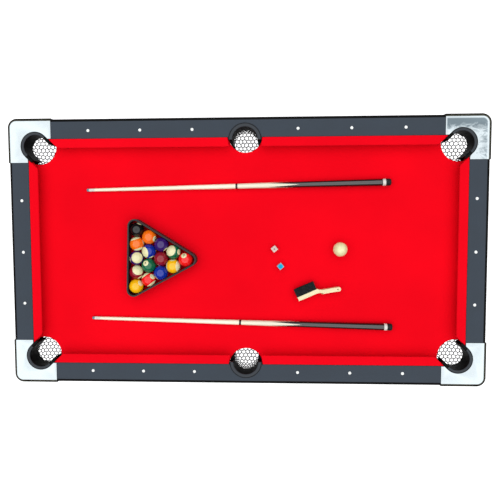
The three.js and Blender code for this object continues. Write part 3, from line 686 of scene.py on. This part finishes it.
def make_sights():
    """Domed pearl dots let into the rails, an eighth of the field's length apart."""
    look = Look("pearl", (0.78, 0.80, 0.80), 0.25, specular=0.6)
    look.paint(look.noise(500.0, 3.0, 0.5, None, 1.0), (0.66, 0.70, 0.72), (0.85, 0.84, 0.80))
    profile = [(-0.004, 0.0059), (0.0, 0.0059), (0.0003, 0.0057), (0.0005, 0.0045), (0.0006, 0.0015)]
    eighth = (HALF_X - RAIL_WIDTH - CUSHION_WIDTH) / 4
    inset = 0.047
    places = []
    for sign in (1, -1):
        places += [(sign * k * eighth, side * (HALF_Y - inset)) for k in (1, 2, 3) for side in (1, -1)]
        places += [(sign * (HALF_X - inset), k * eighth) for k in (-1, 0, 1)]
    for index, (x, y) in enumerate(places, 1):
        piece(f"sight_{index:02d}", upright(profile), look.material, TABLE,
              place=stood(x, y, RAIL_TOP))


def cushion_profile():
    """[inward, z] round a cushion: a flat top, a round nose and a face that leans back under it."""
    face = RAIL_WIDTH + 2 * GAP
    nose = RAIL_WIDTH + CUSHION_WIDTH - 0.0002
    points = [
        (face, CLOTH_TOP + 0.0062),
        (face + 0.009, CLOTH_TOP + 0.0062),
        (nose - 0.0060, CLOTH_TOP + 0.0300),
        (nose, CLOTH_TOP + 0.0352),
        (nose - 0.0012, CLOTH_TOP + 0.0392),
        (face + 0.012, RAIL_TOP - 0.0010),
        (face, RAIL_TOP - 0.0012),
    ]
    return eased(points, [0.001, 0.002, 0.006, 0.0030, 0.0035, 0.008, 0.0022], 5)


def make_cushion(name, side, start, end, look):
    """start and end give where the cushion begins and stops along its rail, for each inward."""
    profile = cushion_profile()
    middle_in = sum(p[0] for p in profile) / len(profile)
    middle_z = sum(p[1] for p in profile) / len(profile)
    ease = 0.004
    stations = [(0, 0.84), (0.25, 0.92), (0.6, 0.98), (1.0, 1.0)]
    across = HALF_X if side in ("head", "foot") else HALF_Y
    rings = []
    for towards, reach, order in ((1, start, stations), (-1, end, stations[::-1])):
        for place, size in order:
            ring = []
            for inward, z in profile:
                inward_here = middle_in + (inward - middle_in) * (1 - (1 - size) * 0.35)
                z_here = middle_z + (z - middle_z) * (1 - (1 - size) * 0.8)
                ring.append((reach(inward) + towards * place * ease, across - inward_here, z_here))
            rings.append(ring)
    mesh = moved(loft(rings), stood(0, 0, 0, SIDES[side]))
    piece(name + "_cloth", mesh, look, TABLE, [name], sharp=50)


def make_cushions(look):
    """One cushion at each end and two on each long side, cut back at the pockets."""
    clear = math.sqrt(2) * (CORNER_POCKET["radius"] + 2 * GAP)
    mouth_back, mouth_front = 0.068, 0.063
    slope = (mouth_back - mouth_front) / CUSHION_WIDTH

    def at_corner(half, sign):
        return lambda inward: sign * (half - inward - clear)

    def at_mouth(sign):
        return lambda inward: sign * (mouth_back - (inward - RAIL_WIDTH) * slope)

    for side in SIDES:
        if side in ("head", "foot"):
            make_cushion("cushion_" + side, side, at_corner(HALF_Y, -1), at_corner(HALF_Y, 1), look)
            continue
        right, left = ("head", "foot") if side == "back" else ("foot", "head")
        make_cushion(f"cushion_{side}_{right}", side, at_mouth(1), at_corner(HALF_X, 1), look)
        make_cushion(f"cushion_{side}_{left}", side, at_corner(HALF_X, -1), at_mouth(-1), look)


def cap_outline():
    """The cap's outline at the corner towards +X +Y, from the rails' own corner, and how many of
    its points lie on its outer edge."""
    bed, centre = -RAIL_WIDTH, -CORNER_POCKET["inset"]
    slot = CORNER_POCKET["radius"] + GAP
    round_from = CAP_PROUD - CAP_ROUND
    outer = [(-CAP_SIZE, CAP_PROUD)]
    outer += arc(round_from, round_from, CAP_ROUND, 90, 0, 20) + [(CAP_PROUD, -CAP_SIZE)]
    inner = [(bed, -CAP_SIZE), (bed, bed - slot * math.sqrt(2))]
    inner += arc(centre, centre, slot, -45, 135, 48)
    inner += [(bed - slot * math.sqrt(2), bed), (-CAP_SIZE, bed)]
    return outer + inner, len(outer)


def make_cap(corner, look):
    """A shell over the rails' corner, open underneath and round the pocket."""
    outline, outer = cap_outline()
    shell = rounded_prism(outline, CAP_BOTTOM, CAP_TOP, CAP_FILLET, range(outer - 1), 9)
    inner_round = CAP_ROUND - CAP_PROUD + GAP
    far = -CAP_SIZE - 0.01
    room = [(far, GAP)] + arc(GAP - inner_round, GAP - inner_round, inner_round, 90, 0, 20)
    room += [(GAP, far), (far, far)]
    inside = rounded_prism(room, CAP_BOTTOM - 0.01, RAIL_TOP + GAP, 0.008, range(len(room) - 2))
    mesh = bevelled(carved(shell, inside), 0.0011, 3, 40)
    sign_x, sign_y = CORNERS[corner]
    turn = math.atan2(sign_y, sign_x) - math.pi / 4
    moved(mesh, stood(sign_x * HALF_X, sign_y * HALF_Y, 0, turn))
    name = "corner_cap_" + corner
    piece(name + "_chrome", mesh, look, TABLE, [name], sharp=40)


# ---- Pockets -------------------------------------------------------------------------------------


def liner_section(pocket):
    """(radius, z) round the liner's wall: a broad sloping lip, and a thin wall under it."""
    outer = pocket["radius"]
    inner = outer - pocket["lip"]
    wall = inner + 0.004
    lip_bottom = LINER_TOP - 0.012
    points = [
        (outer, lip_bottom),
        (outer, LINER_TOP - 0.0012),
        (outer - 0.0022, LINER_TOP),
        (outer - 0.0036, LINER_TOP - 0.0008),
        (inner + 0.0030, LINER_TOP - 0.0016),
        (inner, LINER_TOP - 0.0050),
        (inner, LINER_BOTTOM),
        (wall, LINER_BOTTOM),
        (wall, lip_bottom),
    ]
    return eased(points, [0.0008, 0.001, 0.001, 0.0008, 0.0024, 0.0030, 0.001, 0.001, 0.0015], 4)


def liner_web(pocket, hole, centre):
    """Painted shade: a flat black web that fills the pocket's hole through the bed, round the liner's wall,
    so the gap down the hole shows as shade.
    The hole's middle is at centre on the pocket's own y axis."""
    inner = pocket["radius"] - pocket["lip"] + 0.001
    outer = hole["radius"] - 0.0018
    front = -pocket["web"]
    lean = math.degrees(math.asin((centre - front) / outer))
    outline = arc(0, centre, outer, -lean, 180 + lean, 40)
    outline += [(-inner, front)] + arc(0, 0, inner, 180, 0, 40) + [(inner, front)]
    return prism(outline, BOARD_BOTTOM + 0.001, CLOTH_TOP - 0.002)


def make_liner(name, pocket, hole, centre, matrix, look):
    """A U-shaped liner: half a ring, and at a corner an arm from each of its ends."""
    stations = arc(0, 0, 1, 0, 180, 64)
    path = [(x, y, 0) for x, y in stations]
    if pocket["arm"]:
        back = [pocket["arm"] * k / 4 for k in range(4, 0, -1)]
        path = [(1, 0, -far) for far in back] + path + [(-1, 0, -far) for far in reversed(back)]
    section = liner_section(pocket)
    rings = [[(r * x, r * y + shift, z) for r, z in section] for x, y, shift in path]
    # The liner's mesh takes in its web, a black sheet that stands for the shade down the hole.
    mesh = moved(joined([loft(rings), liner_web(pocket, hole, centre)]), matrix)
    piece(name + "_moulding", mesh, look, TABLE, [name], sharp=40)


def honeycomb(reach):
    """Knots and cords of a six-sided mesh that fills a circle, a little uneven."""
    width, uneven = NET_CORD["cell"], NET_CORD["uneven"]
    rise = width / math.sqrt(3)
    knots, found, cords = [], {}, set()

    def knot(x, y):
        """The number of the knot at a corner that up to three cells share."""
        key = (round(2 * x / width), round(2 * y / rise))
        if key not in found:
            found[key] = len(knots)
            knots.append((x + random.uniform(-uneven, uneven), y + random.uniform(-uneven, uneven)))
        return found[key]

    rows = int(reach / (1.5 * rise)) + 2
    for row in range(-rows, rows + 1):
        for column in range(-rows * 2, rows * 2 + 1):
            x, y = (column + 0.5 * (row % 2)) * width, row * 1.5 * rise
            if math.hypot(x, y) > reach:
                continue
            turns = [math.pi * k / 3 for k in range(6)]
            ring = [knot(x + rise * math.sin(t), y + rise * math.cos(t)) for t in turns]
            for a, b in zip(ring, ring[1:] + ring[:1]):
                cords.add((min(a, b), max(a, b)))
    return knots, sorted(cords)


def bag_point(x, y, mouth, floor):
    """Where a point of the flat mesh goes when the mesh hangs as a bag, with x, y from its centre."""
    along = math.hypot(x, y)
    angle = math.atan2(y, x)
    height = NET_TOP - NET_BOTTOM
    if along < floor:
        radius = along
        z = NET_BOTTOM + 0.0025 + 0.006 * (along / floor) ** 2
    else:
        up = min(1.0, (along - floor) / (height - 0.006))
        radius = floor + (mouth - floor) * math.sin(min(1.0, up * 1.6) * math.pi / 2)
        z = NET_BOTTOM + 0.0085 + (height - 0.0085) * up
    return Vector((radius * math.cos(angle), radius * math.sin(angle), z))


def cord_between(a, b):
    """The points of a short straight length of cord from a to b."""
    along = (b - a).normalized()
    side = along.orthogonal().normalized()
    other = along.cross(side)
    turns = [math.tau * k / NET_CORD["sides"] for k in range(NET_CORD["sides"])]
    ring = [(side * math.cos(t) + other * math.sin(t)) * NET_CORD["radius"] for t in turns]
    return [a + r for r in ring] + [b + r for r in ring]


def make_net(name, net, x, y, look):
    """A knotted cord bag that hangs under a pocket hole from a rope ring."""
    reach = net["floor"] + (NET_TOP - NET_BOTTOM) - 0.004
    knots, cords = honeycomb(reach)
    at = [bag_point(x, y, net["mouth"], net["floor"]) for x, y in knots]
    points, faces = [], []
    for a, b in cords:
        if (at[a] - at[b]).length >= 2 * NET_CORD["radius"]:
            faces += bar_faces(len(points), NET_CORD["sides"])
            points += cord_between(at[a], at[b])
    corners = [(1, 0, 0), (0, 1, 0), (-1, 0, 0), (0, -1, 0), (0, 0, 1), (0, 0, -1)]
    for spot in at:
        base = len(points)
        points += [spot + Vector(corner) * NET_CORD["knot"] for corner in corners]
        for k in range(4):
            n = (k + 1) % 4
            faces += [[base + k, base + n, base + 4], [base + n, base + k, base + 5]]
    bag = joined([raw_mesh(points, faces), rope_ring(net["mouth"], NET_TOP - 0.0032, NET_CORD["rope"])])
    piece(name + "_cord", moved(bag, stood(x, y)), look, TABLE, [name], sharp=70)


def rope_ring(radius, z, thick):
    """A closed ring of laid rope: three strands that wind round each other."""
    steps, sides, lays = 160, 8, 40
    strands = []
    for strand in range(3):
        rings = []
        for i in range(steps):
            angle = math.tau * i / steps
            lay = lays * angle + strand * math.tau / 3
            middle = radius + 0.5 * thick * math.cos(lay)
            level = z + 0.5 * thick * math.sin(lay)
            section = arc(middle, level, 0.55 * thick, 0, 360, sides)[:sides]
            rings.append([(r * math.cos(angle), r * math.sin(angle), up) for r, up in section])
        strands.append(loft(rings, hoop=True))
    return joined(strands)


def make_pockets(liner, cord):
    for corner, (sx, sy) in CORNERS.items():
        inset = CORNER_POCKET["inset"]
        turn = math.atan2(sy, sx) - math.pi / 2
        matrix = stood(sx * (HALF_X - inset), sy * (HALF_Y - inset), 0, turn)
        centre = (inset - CORNER_HOLE["inset"]) * math.sqrt(2)
        make_liner("pocket_liner_" + corner, CORNER_POCKET, CORNER_HOLE, centre, matrix, liner)
        inset = CORNER_NET["inset"]
        make_net("pocket_net_" + corner, CORNER_NET, sx * (HALF_X - inset), sy * (HALF_Y - inset), cord)
    for side, sign in (("back", 1), ("front", -1)):
        inset = SIDE_POCKET["inset"]
        matrix = stood(0, sign * (HALF_Y - inset), 0, SIDES[side])
        centre = inset - SIDE_HOLE["inset"]
        make_liner("pocket_liner_side_" + side, SIDE_POCKET, SIDE_HOLE, centre, matrix, liner)
        make_net("pocket_net_side_" + side, SIDE_NET, 0, sign * (HALF_Y - SIDE_NET["inset"]), cord)


# ---- Balls and triangle --------------------------------------------------------------------------

CREAM = (0.72, 0.69, 0.40)
YELLOW, BLUE, RED = (0.86, 0.46, 0.003), (0.002, 0.022, 0.30), (0.82, 0.008, 0.008)
PURPLE, ORANGE, GREEN = (0.03, 0.006, 0.13), (0.86, 0.15, 0.004), (0.0015, 0.12, 0.05)
MAROON, BLACK = (0.24, 0.004, 0.015), (0.003, 0.003, 0.004)

# number: colour, where its spot faces, and the axis of its stripe
BALLS = {
    1: (YELLOW, (0.74, 0.49, 0.46), None),
    2: (BLUE, (-0.66, -0.70, 0.22), None),
    3: (RED, (-0.12, 0.63, 0.77), None),
    4: (PURPLE, (0.66, -0.72, 0.10), None),
    5: (ORANGE, (0.90, -0.25, 0.35), None),
    6: (GREEN, (-0.25, 0.41, 0.88), None),
    7: (MAROON, (-0.33, -0.94, 0.05), None),
    8: (BLACK, (0.41, 0.90, 0.15), None),
    9: (YELLOW, (0.04, -0.96, -0.26), (0.99, 0.0, 0.16)),
    10: (BLUE, (0.43, -0.88, 0.20), (-0.69, -0.17, 0.70)),
    11: (RED, (0.68, 0.49, 0.50), (-0.58, 0.81, 0.0)),
    12: (PURPLE, (-0.92, -0.22, 0.33), (0.31, 0.12, 0.94)),
    13: (ORANGE, (0.95, 0.28, -0.02), (-0.28, 0.95, 0.05)),
    14: (GREEN, (0.92, 0.02, 0.40), (-0.39, 0.31, 0.87)),
    15: (MAROON, (0.57, -0.78, 0.19), (0.45, 0.51, 0.73)),
}
RACK_ROWS = [[3], [14, 9], [4, 7, 2], [5, 10, 6, 11], [8, 13, 12, 15, 1]]


def ball_mesh():
    return edited(raw_mesh(), lambda work: bmesh.ops.create_icosphere(
        work, subdivisions=4, radius=BALL_RADIUS))


def number_mesh(number, spot):
    """The ball's number as a thin raised shape that follows the ball, facing along spot."""
    text = bpy.data.curves.new("number", "FONT")
    text.body = str(number)
    text.align_x = text.align_y = "CENTER"
    text.size = 0.0155 if number < 10 else 0.0130
    text.extrude = 0.0001
    mesh = applied(text)
    side = Vector((0, 1, 0)).cross(spot)
    side = side.normalized() if side.length > 0.2 else Vector((1, 0, 0))
    up = spot.cross(side).normalized()
    for vertex in mesh.vertices:
        u, v, w = vertex.co
        level = BALL_RADIUS + (0.00016 if w > 0 else -0.0004)
        vertex.co = (spot * BALL_RADIUS + side * u + up * v).normalized() * level
    return mesh


def make_ball(number, place, ink):
    colour, spot, axis = BALLS[number]
    spot = Vector(spot).normalized()
    axis = Vector(axis).normalized() if axis else None
    if axis:
        spot = (spot - axis * spot.dot(axis)).normalized()
    name = f"ball_{number:02d}"
    look = ball_look(name, colour, CREAM, axis, spot)
    ball = piece(name, ball_mesh(), look, "object_balls", place=place)
    figures = [number_mesh(number, facing) for facing in ([spot, -spot] if axis else [spot])]
    piece(name + "_number", joined(figures), ink, "object_balls", place=place)
    return ball


def make_balls(ink):
    turn = Matrix.Rotation(RACK["turn"], 4, "Z")
    centre = Vector((RACK["x"], RACK["y"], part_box("object_balls")[0].z + BALL_RADIUS))
    for row, numbers in enumerate(RACK_ROWS):
        for index, number in enumerate(numbers):
            offset = Vector(((8 / 3 - row) * BALL_PITCH, (row - 2 * index) * BALL_RADIUS, 0))
            make_ball(number, Matrix.Translation(centre + turn @ offset), ink)
    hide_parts("object_balls")
    low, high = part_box("cue_ball")
    ivory = (0.74, 0.71, 0.40)
    look = ball_look("cue_ball_resin", ivory, ivory)
    piece("cue_ball_polished", ball_mesh(), look, "cue_ball", ["cue_ball"],
          place=Matrix.Translation((low + high) / 2))


def rack_prism(offset, corner, low, high):
    """A rounded triangle that stands off the centres of the corner balls by offset."""
    reach = (8 / 3) * BALL_PITCH + 2 * (offset - corner)
    outline = []
    for degrees in (0, 120, 240):
        angle = math.radians(degrees)
        x, y = reach * math.cos(angle), reach * math.sin(angle)
        outline += arc(x, y, corner, degrees - 60, degrees + 60, 20)
    return prism(outline, low, high)


def make_triangle():
    """A moulded rack: a tall wall with a rounded top and a shallow groove along its outside."""
    inner = BALL_RADIUS + 0.001
    outer = inner + RACK["wall"]
    height = RACK["height"]
    groove_low, groove_high = height * 0.30, height * 0.62
    groove = carved(rack_prism(outer + 0.01, 0.038, groove_low, groove_high),
                    rack_prism(outer - 0.0011, 0.0269, groove_low, groove_high))
    room = rack_prism(inner, 0.0215, -0.01, height + 0.01)
    mesh = bevelled(carved(rack_prism(outer, 0.028, 0.0, height), room, groove), 0.0016, 4, 45)
    look = grained("rack_plastic", (0.005, 0.0065, 0.008), 0.42, 0.35, 1100.0, 0.12, 0.2)
    place = stood(RACK["x"], RACK["y"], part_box("triangle")[0].z, RACK["turn"])
    piece("triangle_moulding", mesh, look, "triangle", ["triangle"], 45, place)


# ---- Cues ----------------------------------------------------------------------------------------


def cue_radius(from_tip):
    return CUE_TIP_RADIUS + (CUE_BUTT_RADIUS - CUE_TIP_RADIUS) * from_tip / CUE_LENGTH


def run(start, end, ease=0.0004, proud=0.0):
    """The profile of one turned length of the cue, its two edges a little eased."""
    steps = 12
    inner = [start + ease + (end - start - 2 * ease) * k / steps for k in range(steps + 1)]
    profile = [(start, cue_radius(start) + proud - ease)]
    profile += [(x, cue_radius(x) + proud) for x in inner]
    return profile + [(end, cue_radius(end) + proud - ease)]


def threaded_pin():
    """The joint's steel pin, with its screw thread as rings."""
    start, end, radius, pitch = CUE_JOINT - 0.028, CUE_JOINT + 0.001, 0.0036, 0.0015
    root = radius * 0.84
    profile = [(start, radius * 0.6), (start + 0.002, root)]
    for k in range(int((end - start - 0.004) / pitch)):
        at = start + 0.002 + k * pitch
        profile += [(at + pitch * 0.3, root), (at + pitch * 0.5, radius)]
        profile += [(at + pitch * 0.8, radius), (at + pitch, root)]
    return turned(profile + [(end, root)], 24)


def make_cue(number, x, y, turn_degrees, looks):
    """A cue along its own +X from the tip, laid down so that its taper rests on the cloth."""
    taper = math.asin((CUE_BUTT_RADIUS - CUE_TIP_RADIUS) / CUE_LENGTH)
    place = stood(x, y, CLOTH_TOP + GAP + CUE_TIP_RADIUS, math.radians(turn_degrees))
    place = place @ Matrix.Rotation(-taper, 4, "Y")
    shaft, butt = f"cue_{number}_shaft", f"cue_{number}"
    end = CUE_LENGTH
    tip = [(0.0, 0.0030), (0.0004, 0.0043), (0.0014, 0.0054), (0.0028, 0.0059), (0.0095, 0.0060)]
    bumper = [(end - back, CUE_BUTT_RADIUS - drop) for back, drop in (
        (0.021, 0.0003), (0.0195, 0.0), (0.007, 0.0), (0.003, 0.0008), (0.0008, 0.0028), (0.0, 0.0055))]
    parts = [
        ("tip", turned(tip), "leather", shaft, "stained_butt"),
        ("ferrule", turned(run(0.0097, 0.032, 0.0002)), "ivory", shaft, "maple"),
        ("shaft_wood", turned(run(0.0322, CUE_JOINT - 0.0045)), "maple", shaft, "maple"),
        ("joint_collar", turned(run(CUE_JOINT - 0.0043, CUE_JOINT - GAP, 0.0002)), "collar", shaft,
         "stained_butt"),
        ("joint_pin", threaded_pin(), "plated", butt, "black_steel"),
        ("joint_ring", turned(run(CUE_JOINT, CUE_JOINT + 0.0035, 0.0002, 0.0002)), "collar", butt,
         "stained_butt"),
        ("forearm", turned(run(CUE_JOINT + 0.0037, end - 0.0335)), "butt", butt, "stained_butt"),
        ("white_ring", turned(run(end - 0.0333, end - 0.0212, 0.0003, 0.0001)), "ivory", butt, "maple"),
        ("bumper", turned(bumper), "rubber", butt, "foot_rubber"),
    ]
    replaced = {"shaft_wood": [f"cue_shaft_{number}"], "forearm": [f"cue_butt_{number}"]}
    for name, mesh, look, body, slot in parts:
        piece(f"cue_{number}_{name}_part", mesh, looks[look], body, replaced.get(name, ()), 40,
              place)


def make_cues():
    ivory = Look("ivory_ring", (0.60, 0.60, 0.55), 0.3, specular=0.6)
    ivory.paint(ivory.noise(900.0, 3.0), (0.56, 0.56, 0.50), (0.64, 0.64, 0.60))
    looks = {
        "maple": wood_look("maple_shaft", (0.84, 0.79, 0.64), (0.75, 0.66, 0.48)),
        "butt": butt_look(),
        "ivory": ivory.material,
        "collar": grained("collar_black", (0.004, 0.004, 0.005), 0.2, 0.7, 1500.0, 0.05),
        "rubber": grained("bumper_rubber", (0.006, 0.006, 0.007), 0.7, 0.3, 1500.0, 0.3),
        "leather": grained("tip_leather", (0.12, 0.20, 0.26), 0.9, 0.2, 1800.0, 0.5),
        "plated": plated_look(),
    }
    make_cue(1, -0.645, 0.250, 1.17, looks)
    make_cue(2, -0.633, -0.273, -1.41, looks)


# ---- Chalk and brush -----------------------------------------------------------------------------


def make_chalk(name, colour, pale, hollow, paper):
    """A pressed cube with a hollow worn in its top and a paper sleeve round its sides."""
    size = CHALK["size"]

    def press(work):
        bmesh.ops.create_cube(work, size=size)
        bmesh.ops.subdivide_edges(work, edges=work.edges[:], cuts=16, use_grid_fill=True)
        for vertex in work.verts:
            across = math.hypot(vertex.co.x, vertex.co.y) / CHALK["dish"]
            if vertex.co.z > size / 2 - 1e-5 and across < 1:
                vertex.co.z -= CHALK["dish_depth"] * (1 - across ** 2)
            vertex.co.z += size / 2

    low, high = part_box(name)
    middle = (low + high) / 2
    place = stood(middle.x, middle.y, low.z, CHALK["turn"])
    cube = bevelled(edited(raw_mesh(), press), 0.0009, 3, 50)
    look = chalk_look(name + "_dust", colour, pale, hollow)
    piece(name + "_cube", cube, look, name, [name], 50, place)
    outside, inside, sleeve_low, sleeve_high = 0.00015, -0.0002, 0.0012, 0.0155
    rings = []
    for out, z in ((outside, sleeve_low), (outside, sleeve_high),
                   (inside, sleeve_high), (inside, sleeve_low)):
        half = size / 2 + out
        square = [(-half, -half), (half, -half), (half, half), (-half, half)]
        rings.append([(x, y, z) for x, y in eased(square, 0.0009 + out, 4)])
    piece(name + "_paper_sleeve", loft(rings, hoop=True), paper, name, place=place)


def make_chalks():
    paper = grained("sleeve_paper", (0.50, 0.50, 0.52), 0.8, 0.2, 2200.0, 0.2, 0.08)
    make_chalk("chalk_white", (0.60, 0.47, 0.43), (0.62, 0.50, 0.47), (0.10, 0.11, 0.12), paper)
    make_chalk("chalk_blue", (0.004, 0.36, 0.60), (0.30, 0.38, 0.46), (0.004, 0.33, 0.56), paper)


def along_handle(far, aside=0.0):
    """A point of the brush's bent handle, so far along it and to its left."""
    bend = HANDLE["bend"]
    return Vector((HANDLE["x"] + far * math.cos(bend) - aside * math.sin(bend),
                   HANDLE["y"] + far * math.sin(bend) + aside * math.cos(bend)))


def brush_outline():
    """The wooden back with its bent handle, seen from above as the brush lies on its side."""
    length, radius, bend = HANDLE["length"], HANDLE["radius"], math.degrees(HANDLE["bend"])
    low, high = along_handle(length, -radius), along_handle(length, radius)
    neck_low, neck_high = Vector((0.110, -0.0115)), Vector((0.108, 0.0058))
    outline = eased([(0, 0), (0.089, -0.0005), neck_low], [0.004, 0.012, 0.012], 6)
    outline += [tuple(low + (neck_low - low) * 0.35)]
    outline += arc(*along_handle(length), radius, bend - 90, bend + 90, 16)
    outline += [tuple(high + (neck_high - high) * 0.35)]
    outline += eased([neck_high, (0.099, 0.0075), (0.088, 0.016), (0.0, 0.016)],
                     [0.010, 0.006, 0.002, 0.003], 5)
    return outline


def hair(base, lean, length, radius):
    """The points of one tapered three-sided hair from base."""
    tip = base + Vector((lean[0], length, lean[1]))
    turns = [math.tau * k / 3 for k in range(3)]
    return [centre + Vector((size * math.cos(t), 0, size * math.sin(t)))
            for centre, size in ((base, radius), (tip, radius * 0.45)) for t in turns]


def make_bristle(look, place):
    """Rows of tufts set in the back. Every tuft is a spray of fine hairs."""
    columns, rows, hairs, tuft = 17, 5, 34, 0.0021
    first_x, last_x, first_z, last_z = 0.0045, 0.0840, 0.0045, 0.0235
    points, faces = [], []
    for column in range(columns):
        for row in range(rows):
            x = first_x + column * (last_x - first_x) / (columns - 1)
            z = first_z + row * (last_z - first_z) / (rows - 1)
            for _ in range(hairs):
                turn, out = random.uniform(0, math.tau), math.sqrt(random.random())
                offset = Vector((math.cos(turn), 0, math.sin(turn))) * out * tuft
                lean = (offset.x * 0.55, offset.z * 0.35)
                base = Vector((x, 0.0155, z)) + offset
                faces += bar_faces(len(points), 3)
                points += hair(base, lean, 0.0335 + random.uniform(-0.0012, 0.0008), 0.00042)
    piece("brush_bristle", raw_mesh(points, faces), look, "brush", place=place)


def make_brush():
    width = BRUSH["width"]
    drill = upright([(-0.01, HANDLE["hole_radius"]), (width + 0.01, HANDLE["hole_radius"])], 24)
    hole = moved(drill, stood(*along_handle(HANDLE["hole"])))
    mesh = bevelled(carved(prism(brush_outline(), 0, width), hole), 0.0018, 4, 40)
    look = wood_look("beech", (0.74, 0.66, 0.41), (0.64, 0.54, 0.30), 0.4, (6.0, 90.0, 90.0))
    place = stood(BRUSH["x"], BRUSH["y"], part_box("brush")[0].z, BRUSH["turn"])
    piece("brush_back_and_handle", mesh, look, "brush", ["brush"], 45, place)
    make_bristle(bristle_look(), place)


# ---- Under the table -----------------------------------------------------------------------------


def pan_screw():
    """A pan head with its cross slot, pointing down from z = 0."""
    head = upright([(0.0, 0.0042), (-0.0010, 0.0044), (-0.0022, 0.0038), (-0.0030, 0.0022)], 24)
    long, narrow = 0.0024, 0.0004
    bars = [prism([(-x, -y), (x, -y), (x, y), (-x, y)], -0.004, -0.0016)
            for x, y in ((long, narrow), (narrow, long))]
    return carved(head, *bars)


def make_bracket_screws(look):
    screw = pan_screw()
    for tail in LEGS:
        low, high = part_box("leg_bracket_" + tail)
        heads = [moved(screw.copy(), stood(x, y, high.z - 0.005))
                 for x in (low.x + 0.009, high.x - 0.009) for y in (low.y + 0.010, high.y - 0.010)]
        piece(f"leg_bracket_{tail}_screws", joined(heads), look, TABLE)


def make_brace_pins(look):
    """The leg's own pin for its brace, flush with the lower link that turns on it."""
    inset, radius = 0.008, 0.0039
    for end in ("head", "foot"):
        low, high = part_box("brace_lower_" + end)
        x = high.x - inset if end == "head" else low.x + inset
        start = low.y if end == "head" else low.y - GAP
        pin = turned([(0.0, radius), (high.y - low.y + GAP, radius)], 24)
        moved(pin, stood(x, start, low.z + inset, math.pi / 2))
        piece("brace_pin_" + end, pin, look, "leg_frame_" + end)


def make_frame_pieces():
    rail, board = rail_look(), board_look()
    steel = grained("powder_coat", (0.011, 0.0115, 0.0125), 0.38, 0.5, 520.0, 0.22, 0.2)
    foot, brace = leveler_look(), plated_look()
    for side in SIDES:
        refined("rail_" + side, rail, TABLE, 0.0006)
        refined("apron_" + side, board, TABLE)
    refined("bed_board", board, TABLE, 0.0004)
    for end in ("head", "foot"):
        refined("cross_beam_" + end, board, TABLE, 0.001)
        refined("leg_frame_" + end, steel, "leg_frame_" + end, 0.0015)
        refined("brace_anchor_" + end, brace, TABLE, 0.0004)
        for link in ("brace_upper_" + end, "brace_lower_" + end):
            refined(link, brace, link, 0.0004)
        for side in ("back", "front"):
            tail = f"{end}_{side}"
            refined("leg_bracket_" + tail, steel, TABLE)
            refined("leveler_" + tail, foot, "leveler_" + tail, 0.0006)
    make_bracket_screws(brace)
    make_brace_pins(brace)


# ---- The whole -----------------------------------------------------------------------------------


def main():
    random.seed(15)
    make_camera()
    make_floor()
    make_light()
    make_frame_pieces()
    make_bed_cloth(cloth_look("red_cloth", (0.76, 0.0014, 0.0085)))
    # Painted light: the cushions' cloth is the bed cloth made a touch lighter, for the brighter look of the
    # cushion tops.
    make_cushions(cloth_look("red_cushion_cloth_painted_lighter", (0.77, 0.0018, 0.0100)))
    chrome = cap_look("bright_chrome", False)
    # The cap at head_back carries a painted grey-blue reflection.
    reflection_painted = cap_look("chrome_with_painted_reflection", True)
    for corner in CORNERS:
        make_cap(corner, reflection_painted if corner == "head_back" else chrome)
    make_sights()
    make_pockets(liner_look(), cord_look())
    make_balls(grained("number_ink", (0.004, 0.004, 0.005), 0.2, 0.5, 1500.0, 0.02))
    make_triangle()
    make_cues()
    make_chalks()
    make_brush()


main()
